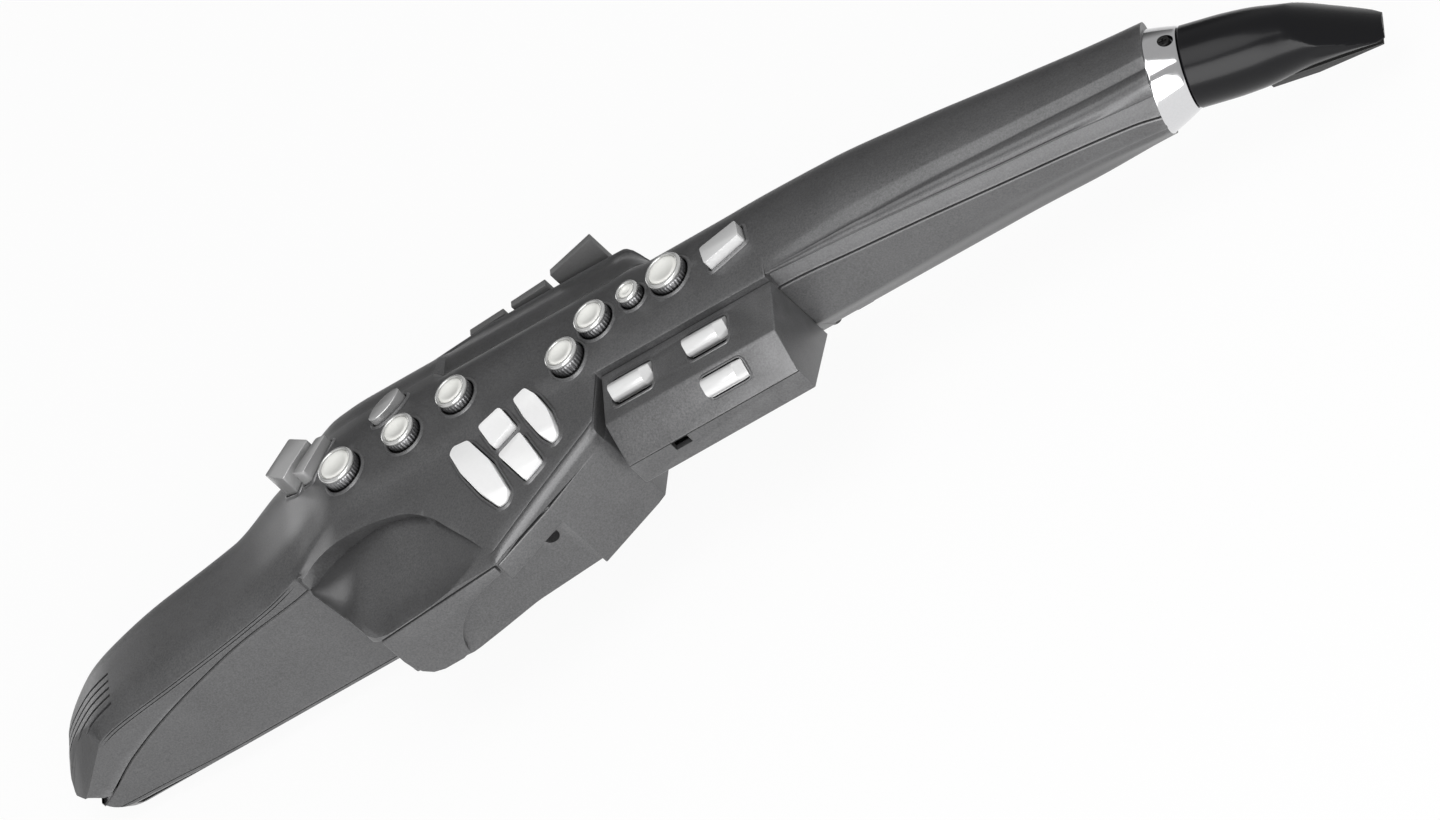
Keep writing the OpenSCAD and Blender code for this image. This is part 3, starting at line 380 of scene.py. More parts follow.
def dress(piece: Piece, finish: bpy.types.Material, slot: str, *nodes: str) -> Piece:
    """Give a piece its finish, let it ride on its body and stand for its CAD nodes.

    Args:
        piece: The finished piece, in its place.
        finish: Its material.
        slot: The record's material slot; not used.
        nodes: The CAD nodes that it stands for; the first one's body carries it.

    Returns:
        The same piece.
    """
    piece.data.materials.clear()
    piece.data.materials.append(finish)
    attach(piece, frame["nodes"][nodes[0]]["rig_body"])
    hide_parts(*nodes)
    log.info("%s stands for %s", piece.name, ", ".join(nodes))
    return piece


def smooth_open(points: Sequence[Point2], cuts: int = 6) -> list[Point2]:
    """Run a smooth curve through an open row of points."""
    return spline([(p[0], p[1], Edge.SMOOTH) for p in points], cuts)


def disc(x: float, y: float, radius: float, sides: int = 64) -> list[Point2]:
    """List the corners of a circle in plan."""
    turns = [2 * math.pi * k / sides for k in range(sides)]
    return [(x + radius * math.cos(t), y + radius * math.sin(t)) for t in turns]


def offset(outline: Sequence[Point2], distance: float) -> list[Point2]:
    """Move a closed outline outwards by a distance, or inwards where it is negative."""
    around = list(outline)
    area = sum(a[0] * b[1] - b[0] * a[1] for a, b in zip(around, around[1:] + around[:1]))
    side = 1 if area > 0 else -1
    out: list[Point2] = []
    for i, corner in enumerate(around):
        before = Vector(corner) - Vector(around[i - 1])
        after = Vector(around[(i + 1) % len(around)]) - Vector(corner)
        along = (before.normalized() + after.normalized()).normalized()
        normal = Vector((along.y, -along.x)) * side
        turn = max(0.5, along.dot(after.normalized()))
        out.append(tuple(Vector(corner) + normal * distance / turn))
    return out


def joined(pieces: Sequence[Piece]) -> Piece:
    """Join pieces into the first one's mesh and drop the others."""
    work = bmesh.new()
    for piece in pieces:
        work.from_mesh(piece.data)
    work.to_mesh(pieces[0].data)
    work.free()
    for piece in pieces[1:]:
        bpy.data.objects.remove(piece)
    return pieces[0]


def slab(name: str, profile: Sequence[Point2], low_x: float, high_x: float) -> Piece:
    """Extrude a closed profile of Y and Z along the body."""
    return loft(name, [[place(x, y, z) for y, z in profile] for x in (low_x, high_x)])


def room(name: str, low: Point3, high: Point3) -> Piece:
    """Build the box-shaped tool that cuts a plain opening."""
    plan = [(low[0], low[1]), (high[0], low[1]), (high[0], high[1]), (low[0], high[1])]
    return prism(name, plan, low[2], high[2])


def add(tree: Tree, kind: str, inputs: dict | None = None, **settings) -> bpy.types.Node:
    """Add a node to a tree.

    Args:
        tree: The node tree.
        kind: The node's type.
        inputs: A number, a colour or another node's socket for each named input.
        settings: The node's own settings, made before its inputs.

    Returns:
        The new node.
    """
    made = tree.nodes.new(kind)
    for key, value in settings.items():
        setattr(made, key, value)
    for key, value in (inputs or {}).items():
        if isinstance(value, Socket):
            tree.links.new(value, made.inputs[key])
        else:
            made.inputs[key].default_value = value
    return made


def math_node(tree: Tree, operation: str, a, b, clamp: bool = False) -> Socket:
    """Add a Math node over two sockets or numbers and give its output."""
    return add(tree, "ShaderNodeMath", {0: a, 1: b}, operation=operation, use_clamp=clamp).outputs[0]


def ramp(tree: Tree, value: Socket, stops: Point2, ends: Point2,
         **settings) -> Socket:
    """Add a Map Range node that turns a value between the stops into one between the ends."""
    inputs = {"Value": value, "From Min": stops[0], "From Max": stops[1],
              "To Min": ends[0], "To Max": ends[1]}
    return add(tree, "ShaderNodeMapRange", inputs, **settings).outputs[0]


class NodeGroup:
    """A shader node group whose sockets are named numbers."""

    def __init__(self, name: str, takes: dict[str, float], gives: Sequence[str]) -> None:
        """Start a group with its inputs, each with its default, and its outputs."""
        self.tree = bpy.data.node_groups.new(name, "ShaderNodeTree")
        self.taken = self.tree.nodes.new("NodeGroupInput").outputs
        self.given = self.tree.nodes.new("NodeGroupOutput").inputs
        for key, value in takes.items():
            socket = self.tree.interface.new_socket(name=key, in_out="INPUT", socket_type="NodeSocketFloat")
            socket.default_value = value
        for key in gives:
            self.tree.interface.new_socket(name=key, in_out="OUTPUT", socket_type="NodeSocketFloat")

    def give(self, name: str, socket: Socket) -> None:
        """Join a socket to one of the group's outputs."""
        self.tree.links.new(socket, self.given[name])


FLAKE_SCALE, CLOUD_SCALE, PATCH_SCALE = 1500, 60, 140
CLOUD_SHARE = 0.25
# Convex edges get a lighter colour, partly edge wear and partly a painted edge highlight: the pointiness
# range of that mask and how much it lightens the colour.
WORN_AND_LIT_EDGES = (0.52, 0.6)
WORN_AND_LIT_GAIN, WORN_AND_LIT_LIFT = 2, 0.05
BUMP_DEPTH = 0.2 * MM


def speckle_group() -> Tree:
    """Build the fine metallic flake that the painted plastics share."""
    group = NodeGroup("fine_speckle", {"Scale": 1.0, "Amount": 0.2}, ("Value", "Height"))
    tree = group.tree
    coords = add(tree, "ShaderNodeTexCoord").outputs["Object"]
    scaled = add(tree, "ShaderNodeVectorMath", {0: coords, "Scale": group.taken["Scale"]},
                 operation="SCALE").outputs[0]
    fine = add(tree, "ShaderNodeTexNoise",
               {"Vector": scaled, "Scale": FLAKE_SCALE, "Detail": 2, "Roughness": 0.7}).outputs["Fac"]
    coarse = add(tree, "ShaderNodeTexNoise",
                 {"Vector": scaled, "Scale": CLOUD_SCALE, "Detail": 3}).outputs["Fac"]
    clouds = math_node(tree, "MULTIPLY", math_node(tree, "SUBTRACT", coarse, 0.5), CLOUD_SHARE)
    both = math_node(tree, "ADD", math_node(tree, "SUBTRACT", fine, 0.5), clouds)
    strong = math_node(tree, "MULTIPLY", both, group.taken["Amount"])
    group.give("Value", math_node(tree, "ADD", strong, 1.0))
    group.give("Height", fine)
    return tree


def wear_and_highlight_group() -> Tree:
    """Build the mask of light edge wear and painted edge highlights that the finishes share: convex edges get
    a lighter colour.
    """
    group = NodeGroup("edge_wear_and_highlight", {"Spread": 0.5}, ("Mask",))
    tree = group.tree
    edges = ramp(tree, add(tree, "ShaderNodeNewGeometry").outputs["Pointiness"], WORN_AND_LIT_EDGES, (0.0, 1.0))
    coords = add(tree, "ShaderNodeTexCoord").outputs["Object"]
    patches = add(tree, "ShaderNodeTexNoise", {"Vector": coords, "Scale": PATCH_SCALE}).outputs["Fac"]
    broken = math_node(tree, "MULTIPLY", edges, patches)
    group.give("Mask", math_node(tree, "MULTIPLY", broken, group.taken["Spread"], clamp=True))
    return tree


@dataclass(frozen=True)
class Finish:
    """One surface finish of the instrument.

    The numbers are the look at the middle of its range: speckle and grain change them over the surface.
    """

    name: str
    colour: Point3
    roughness: float
    metallic: float = 0.0
    speckle: float = 0.1
    grain_scale: float = 1.0
    bump: float = 0.02
    coat: float = 0.0
    coat_roughness: float = 0.1
    wear_and_highlight: float = 0.1
    specular: float = 0.5

    def build(self, groups: dict[str, Tree]) -> bpy.types.Material:
        """Build the material.

        Args:
            groups: The shared node groups by name.

        Returns:
            The new material.
        """
        material = bpy.data.materials.new(self.name)
        material.use_nodes = True
        tree = material.node_tree
        shader = tree.nodes["Principled BSDF"]
        shader.inputs["Specular IOR Level"].default_value = self.specular
        shader.inputs["Metallic"].default_value = self.metallic
        shader.inputs["Coat Roughness"].default_value = self.coat_roughness
        shader.inputs["Coat Weight"].default_value = self.coat
        speckle = add(tree, "ShaderNodeGroup", {"Scale": self.grain_scale, "Amount": self.speckle},
                      node_tree=groups["speckle"]).outputs
        wear_and_highlight = add(tree, "ShaderNodeGroup", {"Spread": self.wear_and_highlight}, node_tree=groups["wear_and_highlight"]).outputs
        # Lighter colour on convex edges: edge wear and a painted edge highlight.
        rubbed_or_lit = (*[min(1.0, c * WORN_AND_LIT_GAIN + WORN_AND_LIT_LIFT) for c in self.colour], 1)
        tint = add(tree, "ShaderNodeMix", {"Factor": wear_and_highlight["Mask"], "A": (*self.colour, 1), "B": rubbed_or_lit},
                   data_type="RGBA").outputs["Result"]
        flake = add(tree, "ShaderNodeVectorMath", {0: tint, "Scale": speckle["Value"]}, operation="SCALE")
        rough = math_node(tree, "MULTIPLY", speckle["Value"], self.roughness, clamp=True)
        bump = add(tree, "ShaderNodeBump", {"Strength": self.bump, "Distance": BUMP_DEPTH,
                                            "Height": speckle["Height"]})
        tree.links.new(flake.outputs[0], shader.inputs["Base Color"])
        tree.links.new(rough, shader.inputs["Roughness"])
        tree.links.new(bump.outputs[0], shader.inputs["Normal"])
        return material


FINISHES = {
    # The shell's strong edge mask paints light highlights along its edges, as well as wear.
    "graphite": Finish("graphite_satin_shell", (0.13, 0.13, 0.132), 0.4, 0.6, 1.0, bump=0.2, wear_and_highlight=0.6),
    "chrome": Finish("polished_chrome_ring", (0.7, 0.7, 0.71), 0.09, 1.0, 0.12, bump=0.004),
    "steel_dark": Finish("blackened_screw_steel", (0.02, 0.02, 0.02), 0.4, 0.6, 0.3),
    "gloss_black": Finish("gloss_black_mouthpiece", (0.005, 0.005, 0.006), 0.24, 0.0, 0.15, coat=0.08,
                          bump=0.006, specular=0.22),
    "reed": Finish("moulded_black_reed", (0.03, 0.03, 0.03), 0.4, speckle=0.3),
    "tube": Finish("pale_silicone_tube", (0.72, 0.72, 0.69), 0.6, speckle=0.1),
    "frame": Finish("moulded_frame_plastic", (0.03, 0.03, 0.031), 0.55, speckle=0.4, bump=0.05),
    "board": Finish("green_circuit_board", (0.015, 0.09, 0.04), 0.35, speckle=0.3, coat=0.3),
    "socket": Finish("black_socket_plastic", (0.015, 0.015, 0.015), 0.4, speckle=0.3),
    "port": Finish("pressed_port_steel", (0.6, 0.6, 0.6), 0.3, 1.0, 0.2),
    "speaker": Finish("speaker_frame_steel", (0.25, 0.25, 0.25), 0.35, 1.0, 0.2),
    "cell": Finish("battery_cell_sleeve", (0.5, 0.5, 0.52), 0.35, 0.7, 0.2),
    "window": Finish("gloss_display_window", (0.006, 0.007, 0.009), 0.08, coat=0.5, speckle=0.1, bump=0.002),
    "control": Finish("moulded_control_black", (0.025, 0.025, 0.026), 0.45, speckle=0.35, bump=0.05),
    "eye": Finish("polished_strap_eye", (0.75, 0.75, 0.76), 0.16, 1.0, 0.2),
    "pearl": Finish("dished_white_pearl", (0.82, 0.82, 0.785), 0.22, 0.0, 0.12, 0.12, 0.004, coat=0.5),
    "table": Finish("white_satin_table_key", (0.84, 0.84, 0.84), 0.3, 0.0, 0.05, 0.4, 0.004, coat=0.2),
    "side": Finish("grey_side_key_plastic", (0.13, 0.13, 0.13), 0.5, 0.1, 0.4, bump=0.06),
    "silver": Finish("satin_silver_key", (0.8, 0.8, 0.8), 0.2, 0.4, 0.03, bump=0.002, specular=0.6),
    "silver_dark": Finish("shaded_silver_key", (0.5, 0.5, 0.5), 0.25, 0.6, 0.05, bump=0.002),
    "rim": Finish("bright_key_rim", (0.72, 0.72, 0.71), 0.2, 0.7, 0.15, bump=0.01),
    "skirt": Finish("knurled_key_skirt", (0.24, 0.24, 0.245), 0.3, 1.0, 0.3, bump=0.03),
}


@dataclass
class Casing:
    """The two shells and the battery cover, skinned over sections along the body.

    Sizes are in millimetres from the centre of the B key's top: X runs to the mouthpiece, Y to the side keys.
    """

    start: float = -309.0
    back_start: float = -301.6
    neck: float = 38.0
    end: float = 188.6
    step: float = 2.5
    tilt: float = 17.0
    seam_gap: float = 0.7
    neck_axis: float = -37.7
    cover_line: float = -77.0
    cover_end: float = -142.0
    back: float = -51.0
    half_base: float = 21.0
    lower_fade: Point2 = (-208.0, 55.0)
    neck_fade: Point2 = (-27.0, 19.0)
    chin_reach: float = 155.5
    scoop_undercut: float = 3.2
    scoop_dip: float = 1.9
    crown: Rail = rail(
        (-309, -64.6), (-308, -62.3), (-305, -58.3), (-301, -53), (-291, -45.3), (-281, -39.9), (-271, -36.9),
        (-198, -23.7), (-178, -17.5), (-164, -11), (-150, -6.2), (-136, -5), (-60, -5), (20, -4.7),
        (38, -4.4), (68, -4.8), (99, -7.6), (141, -13.4), (170, -17.3), (188.6, -19.0))
    seam: Rail = rail(
        (-309, -76), (-298, -71), (-279, -59.5), (-256, -48.8), (-238, -42.6), (-213, -36), (-182, -31),
        (-165, -25.5), (-150, -22.7), (-146, -22.4), (-119, -20.1), (-92, -17.9), (-86, -17.5), (30, -17.2),
        (38.8, -15.9), (71, -18.9), (119, -24.9),
        (178, -34.1), (188.6, -37.2))
    chin_edge: Rail = rail(
        (-309, -67.2), (-306, -67), (-303.5, -66.8), (-301.5, -68.6), (-298, -71))
    far_side: Rail = rail(
        (-309, 4), (-305, 9), (-297, 12.5), (-279, 17), (-243, 21), (-208, 21), (-186, 31), (-150, 41),
        (-100, 41), (-27, 40.2), (-9, 22.4), (38, 22), (106, 20.8), (148, 20.2), (188.6, 19.0))
    near_side: Rail = rail(
        (-309, -14.6), (-307.5, -16.8), (-302, -18.2), (-279, -19.2), (-243, -21), (-180, -21), (0, -22),
        (38, -22), (106, -21), (148, -20), (188.6, -18.6))
    depth: Rail = rail(
        (-301.6, -79), (-301, -81), (-299, -83.6), (-296, -85.4), (-292, -86), (-142, -86), (-137, -84),
        (-108, -51), (38, -51))
    wing_corners: tuple[Point2, ...] = (
        (-180, -21), (-149, -71), (-148, -73.2), (-145, -75), (-90.6, -75), (-43.6, -47.8), (-40.5, -45.4),
        (-36.5, -22))
    flank_corners: tuple[Point2, ...] = (
        (-173, -21), (-146.2, -71), (-145.4, -72.2), (-127, -72.2), (-112, -68.6), (-96, -64.4),
        (-67.2, -61.4), (-66.8, -58.2), (-44.6, -45.2), (-43.2, -43.9), (-40.3, -30.8), (-36.4, -22))
    scoop_plan: tuple[Point2, ...] = (
        (-181, -22.4), (-174, -26), (-166, -27.8), (-155, -29.6), (-140, -31.2), (-131, -33), (-121, -36.6),
        (-112.5, -43.5), (-106, -52.5), (-99, -62.5), (-91.5, -75.2), (-91.5, -90), (-200, -90), (-200, -24))
    scoop_wall: Rail = rail(
        (-185, -29.5), (-175, -27), (-165, -23), (-150, -17.8), (-140, -14.8), (-131, -13), (-118, -13.8),
        (-106, -15), (-92, -15.2))
    scoop_lip: Rail = rail(
        (-185, -30.3), (-181, -28.8), (-165, -22.2), (-151, -16.6), (-148, -18.2), (-145, -20), (-138.7, -21),
        (-92, -14))
    scoop_near: Rail = rail(
        (-185, -20), (-175, -26), (-150, -30), (-131, -33), (-117, -39), (-108, -50), (-99, -62),
        (-91.5, -74))

    def along(self, corners: Sequence[Point2], x: float) -> float:
        """Give the near edge of an outline in plan, or the body's near side beside it."""
        side = self.near_side(x)
        for a, b in zip(corners, corners[1:]):
            if a[0] <= x <= b[0]:
                return min(side, a[1] + (b[1] - a[1]) * (x - a[0]) / (b[0] - a[0]))
        return side

    def wing_height(self, x: float, y: float) -> float:
        """Give the height of the wing's face."""
        profile = Rail((-75, -17), (-60, -13.5), (-40, -10), (-22, -7.6), (-14, -5.7))
        return profile(y) + 1.15 * (self.crown(x) + 5) * (1 if x < -100 else 0)

    def stations(self, first: float) -> list[float]:
        """List the places along the body where a section is taken, from the first one on."""
        fixed = {first, first + 0.5, first + 1.2, first + 2.2, first + 3.4, first + 5, self.end}
        for mark in (-180, -149, -148, -146.5, -145, -106, -102, -90.6, -67, -43.6, -40.5, -36.5, -137, -108,
                     -142, -26, -9, 37.3, 38.4):
            fixed.update((mark - 0.3, mark + 0.3))
        x = first + 7
        while x < self.end - 1:
            if all(abs(x - f) > 1 for f in fixed):
                fixed.add(x)
            x += self.step
        return sorted(fixed)

    def lower_share(self, x: float) -> float:
        """Give 1 on the lower body, 0 from the middle on, and between the two a smooth change."""
        return 1 - eased((x - self.lower_fade[0]) / self.lower_fade[1])

    def neck_share(self, x: float) -> float:
        """Give 0 on the middle, 1 on the neck, and between the two a smooth change."""
        return eased((x - self.neck_fade[0]) / self.neck_fade[1])

    def front_section(self, x: float) -> list[Point2]:
        """Trace the front face from the far seam to the near seam.

        Args:
            x: Place along the body.

        Returns:
            Points across the body, as many at each place.
        """
        top, far, near = self.crown(x), self.far_side(x), self.near_side(x)
        seam = (self.seam(x) if x > -298 else self.chin_edge(x)) + self.seam_gap / 2
        lower, neck = self.lower_share(x), self.neck_share(x)
        hill = 1.0 if x < -104 else 0.0
        s, h = Edge.SMOOTH, Edge.SHARP
        mid = [(41, -24), (39.6, -19), (36.4, -15.6 + 0.6 * hill), (31.5, -13.2 + 1.8 * hill),
               (22.6, -11.4 + 2.8 * hill), (22.1, -12 + 3.6 * hill), (18, -8 + hill), (14, -6.1 + 0.2 * hill),
               (8, -5.1)]
        low = [(1, -8.5), (0.99, -5.8), (0.96, -4.4), (0.92, -3.3), (0.85, -2.2), (0.83, -2.0), (0.72, -1.2),
               (0.5, -0.3), (0.25, 0)]
        foot = [(1, -15.5), (0.985, -11.5), (0.955, -9), (0.92, -7.1), (0.85, -4.9), (0.83, -4.5), (0.74, -3),
                (0.55, -1.3), (0.3, -0.3)]
        rows = [(far, seam, h)]
        crease = h if hill == 0 and x < -12 else s
        for i, (m, l, f) in enumerate(zip(mid, low, foot)):
            spread = far / 41
            y = (m[0] * spread * (1 - lower) + far * l[0] * lower) * (1 - neck) + far * f[0] * neck
            z = ((m[1] + top + 5) * (1 - lower) + (top + l[1]) * lower) * (1 - neck) + (top + f[1]) * neck
            rows.append((y, max(z, seam + 0.3 + 0.05 * i), crease if i in (4, 5) else s))
        rows.append((0, top, s))
        if x > self.neck:
            rows += self.neck_rows(x, top, near, seam)
        else:
            rows += self.near_rows(x, top, near, seam, lower)
        return spline(rows, 3)

    def near_rows(self, x: float, top: float, near: float, seam: float, lower: float) -> list[Knot]:
        """Trace the near half of the front face, from beside the key row to the near seam.

        Args:
            x: Place along the body.
            top: Height of the crown.
            near: The body's near side.
            seam: Height of the seam.
            lower: Share of the lower body's form.

        Returns:
            Points of the near half, as many as the neck has.
        """
        s = Edge.SMOOTH
        edge = self.along(self.wing_corners, x)
        base = {-8: top - 0.1, -14: top - 0.9, -22: top - 4.6}
        z = {y: (self.wing_height(x, y) if y < -8 else top - 0.4) * (1 - lower) + height * lower
             for y, height in base.items()}
        z = {y: max(height, seam + 0.7 + y * 0.01) for y, height in z.items()}
        rows = [(-8 * near / -21, z[-8], s), (-14 * near / -21, z[-14], s)]
        plain = self.plain_side(x, near, z, seam)
        if near - edge < 0.2:
            return rows + plain
        wing = self.wing_side(x, near, edge, z, seam, lower)
        part = eased((near - edge) / 9.0)
        for a, b in zip(plain, wing):
            y, height = (p + (q - p) * part for p, q in zip(a[:2], b[:2]))
            rows.append((y, height, b[2] if part > 0.5 else a[2]))
        return rows

    def plain_side(self, x: float, near: float, z: dict[int, float], seam: float) -> list[Knot]:
        """Trace the body's near side where there is no wing, with the double line of the lower body."""
        s, h = Edge.SMOOTH, Edge.SHARP
        line = 0.55 * share((-183 - x) / 6) * share((x + 283) / 5)
        rows = [(near * 0.87, z[-14] * 0.45 + z[-22] * 0.55, s), (near + 0.3, z[-22], h),
                (near, max(z[-22] - 0.35, seam + 0.42), s)]
        for drop, cut in ((0.7, 0), (0.75, line), (1.1, line), (1.15, 0), (2.1, 0), (2.15, line), (2.5, line),
                          (2.55, 0)):
            rows.append((near + cut, max(z[-22] - drop, seam + 0.42 - 0.07 * drop), h))
        rows.append((near, max(z[-22] - 3.8, seam + 0.15), s))
        rows.append((near, max(z[-22] - 5, seam + 0.08), s))
        rows.append((near, seam, h))
        return rows

    def wing_side(self, x: float, near: float, edge: float, z: dict[int, float], seam: float,
                  lower: float) -> list[Knot]:
        """Trace the wing from the body's near side to its edge, with the rib along its ridge.

        Args:
            x: Place along the body.
            near: The body's near side.
            edge: The wing's edge.
            z: Heights beside the key row.
            seam: Height of the seam.
            lower: Share of the lower body's form.

        Returns:
            Points of the wing, as many as the plain side has.
        """
        s, h = Edge.SMOOTH, Edge.SHARP
        reach = near - edge
        rows = [(near * 0.87, (z[-14] + z[-22]) / 2, s)]
        rib = share((x + 92) / 3) * share((-39 - x) / 3)
        rib_w = min(5.5, reach * 0.4)
        for t in (0.0, 0.33, 0.66, 1.0):
            y = near + (edge + rib_w - near) * t
            rows.append((y, self.flank_height(x, y, lower), s))
        for t, rise in ((0.92, -0.3), (0.75, 0.6), (0.5, 1.15), (0.25, 0.8), (0.08, -0.5), (0.0, -1.6)):
            y = edge + rib_w * t
            rows.append((y, self.flank_height(x, y, lower) + rise * rib - 0.4 * (1 - rib) * (1 - t) ** 4, s))
        ledge = self.flank_height(x, edge, lower) - 1.2 - 1.6 * rib
        rows.append((edge, max(ledge, seam + 0.2), s))
        rows.append((edge, max(ledge - 1.0, seam + 0.1), s))
        rows.append((edge, seam, h))
        return rows

    def flank_height(self, x: float, y: float, lower: float) -> float:
        """Give the height of the face between the spine and the wing's edge."""
        low = self.crown(x) - 4.6 - max(0.0, -22 - y) * 0.12
        return self.wing_height(x, y) * (1 - lower) + low * lower

    def neck_rows(self, x: float, top: float, near: float, seam: float) -> list[Knot]:
        """Trace the near half of the neck's face: shoulder, valley, ridge, recessed band and seam."""
        s, h = Edge.SMOOTH, Edge.SHARP
        valley = Rail((38, -19.0), (78, -15.2), (127, -12), (158, -10), (188.6, -8.6))(x)
        ridge = Rail((38, -20.4), (78, -17.8), (127, -16.0), (158, -15), (188.6, -13.4))(x)
        line = Rail((38, -21.9), (78, -20.7), (124, -19.9), (156, -18.9), (171, -18.2), (188.6, -17.0))(x)
        line_z = Rail((38, -8.2), (52, -9.9), (76, -12.4), (124, -18.4), (156, -22.6), (171, -25.3),
                      (188.6, -28.3))(x)
        depth = Rail((38, 0.1), (60, 0.7), (100, 1.5), (188.6, 1.9))(x)
        shoulder = valley + 3.0
        fall = Rail((38, 2.0), (82, 5.6))(x)

        def bend(y: float) -> float:
            """Give the height of the plain round face."""
            return top - fall * (abs(y) / 17) ** 2.3

        return [*[(shoulder * t, bend(shoulder * t), s) for t in (0.3, 0.6, 0.85)],
                (shoulder, bend(shoulder) - 0.05 * depth, s),
                (valley + 1.1, bend(valley + 1.1) - depth * 0.7, s),
                (valley, bend(valley) - depth, s),
                (valley - 1.0, bend(valley - 1.0) - depth * 0.75, s),
                (ridge + (valley - ridge) * 0.3, bend(ridge + (valley - ridge) * 0.3) - depth * 0.2, s),
                (ridge, bend(ridge) - 0.15 * depth, s),
                (ridge + (line - ridge) * 0.35, bend(ridge) - 0.5 * depth, s),
                (ridge + (line - ridge) * 0.65, bend(ridge) - 1.1 * depth - 0.3, s),
                (line + 0.5, line_z + 0.6, s),
                (line + 0.75, line_z - 0.3, h),
                (near + 0.9 + 0.28 * (line_z - seam), line_z - 1.0, h),
                (near + 0.8 + 0.1 * (line_z - seam), seam + 0.35 * (line_z - seam), s),
                (near + 0.7, seam, h)]

    def back_section(self, x: float) -> list[Point2]:
        """Trace the back from the near seam round to the far seam.

        Args:
            x: Place along the body.

        Returns:
            Points across the body, as many at each place.
        """
        near, far = self.near_side(x), self.far_side(x)
        seam, deep = self.seam(x) - self.seam_gap / 2, self.depth(x)
        s, h = Edge.SMOOTH, Edge.SHARP
        if x > self.neck:
            return spline(self.neck_back(x, near, far, seam), 3)
        edge = self.along(self.flank_corners, x)
        rows = [(edge + 0.4, seam, h), (edge, seam - 0.4, h)]
        rows += self.side_rows(x, edge, near, seam, deep)
        foot = 12 if abs(near) > 14 else abs(near) * 0.6
        far_foot = foot * far / self.half_base if far < self.half_base else foot
        rows += [(-foot, deep, h), (0, deep, s), (far_foot, deep, h)]
        rows += reversed(self.side_rows(x, far, min(far, self.half_base), seam, deep))
        rows += [(far, seam - 0.4, h), (far - 0.4, seam, h)]
        return spline(rows, 3)

    def side_rows(self, x: float, edge: float, wall: float, seam: float, deep: float) -> list[Knot]:
        """Trace one side of the back from the seam down to the base's chamfer.

        Args:
            x: Place along the body.
            edge: Outer edge of the wing or the ledge.
            wall: Side of the base.
            seam: Height of the seam.
            deep: Depth of the base.

        Returns:
            The points, from the seam downwards.
        """
        s, h = Edge.SMOOTH, Edge.SHARP
        side = 1 if edge > 0 else -1
        part = share((abs(edge) - abs(wall)) / 7)
        under = Rail((-215, -60), (-190, -58), (-178, self.back), (38, self.back))(x)
        if side < 0:
            under += Rail((-178, 0), (-172, 4), (-150, 6), (-138, 4), (-124, 0))(x)
        chamfer = min(deep + 7.5, under - 0.05)
        if side < 0 and x > -36.3:
            chamfer, part = -38.0, 0
        span = seam - 0.4 - chamfer
        plain = [(edge, chamfer + span * t) for t in (0.8, 0.6, 0.4, 0.25, 0.1)]
        soft = 1.0 if side < 0 else 9.0
        wide = abs(edge)
        shaped = [(wide, under + 1.6 * soft), (wide, under + soft), (wide - 0.3 * soft, under + 0.3 * soft),
                  (wide - soft, under), (max(abs(wall), min(wide - soft, self.half_base + 3)), under)]
        rows = []
        for (py, pz), (qy, qz) in zip(plain, shaped):
            y = py * (1 - part) + side * max(qy, abs(wall)) * part
            rows.append((y, min(pz * (1 - part) + qz * part, seam - 0.5), s))
        kind = h if part > 0.5 else s
        rows.append((wall, chamfer, kind if deep > self.back - 1 else h))
        return rows

    def neck_back(self, x: float, near: float, far: float, seam: float) -> list[Knot]:
        """Trace the neck's back from the near seam round to the far seam."""
        s, h = Edge.SMOOTH, Edge.SHARP
        low = Rail((38, -51), (120, -51.6), (150, -53), (175, -55), (188.6, -56.6))(x)
        width = Rail((38, 12), (106, 12), (148, 11.5), (188.6, 7.6))(x)
        shelf = Rail((38, -38), (106, -39), (148, -41), (188.6, -46))(x)
        taper = 1 - 0.12 * (x - self.neck) / (self.end - self.neck)
        rows = []
        for side, edge in ((-1, near), (1, far)):
            reach = abs(edge)
            half = [(reach - 0.3, seam, h), (reach, seam - 0.4, h), (reach, seam * 0.75 + shelf * 0.25, s),
                    (reach, seam * 0.4 + shelf * 0.6, s), (reach * taper + 0.1, shelf + 1.5, s),
                    (reach * taper - 0.4, shelf - 1.0, s),
                    (width + (reach * taper - width) * 0.45, (low + shelf) / 2 - 0.6, s),
                    (width + 0.9, low + 1.4, s), (width - 1.2, low + 0.1, s)]
            rows.append([(side * y, z, kind) for y, z, kind in half])
        return rows[0] + [(0, low, s)] + rows[1][::-1]

    def sheared(self, x: float, y: float, z: float) -> Vector:
        """Place a point of a section, with the neck's last sections leaning like the ring."""
        lean = max(0.0, (x - 140) / (self.end - 140)) * math.tan(math.radians(self.tilt))
        return place(x + (z - self.neck_axis) * lean, y, z)

    def block(self, name: str, first: float, section: Callable[[float], list[Point2]]) -> Piece:
        """Skin one shell as a closed block over its sections."""
        return loft(name, [[self.sheared(x, y, z) for y, z in section(x)] for x in self.stations(first)])

    def face_height(self, x: float, y: float) -> float:
        """Give the height of the front face at a place."""
        row = self.front_section(x)
        for a, b in zip(row, row[1:]):
            if b[0] <= y <= a[0] and a[0] - b[0] > 1e-6:
                return a[1] + (b[1] - a[1]) * (a[0] - y) / (a[0] - b[0])
        return self.crown(x)

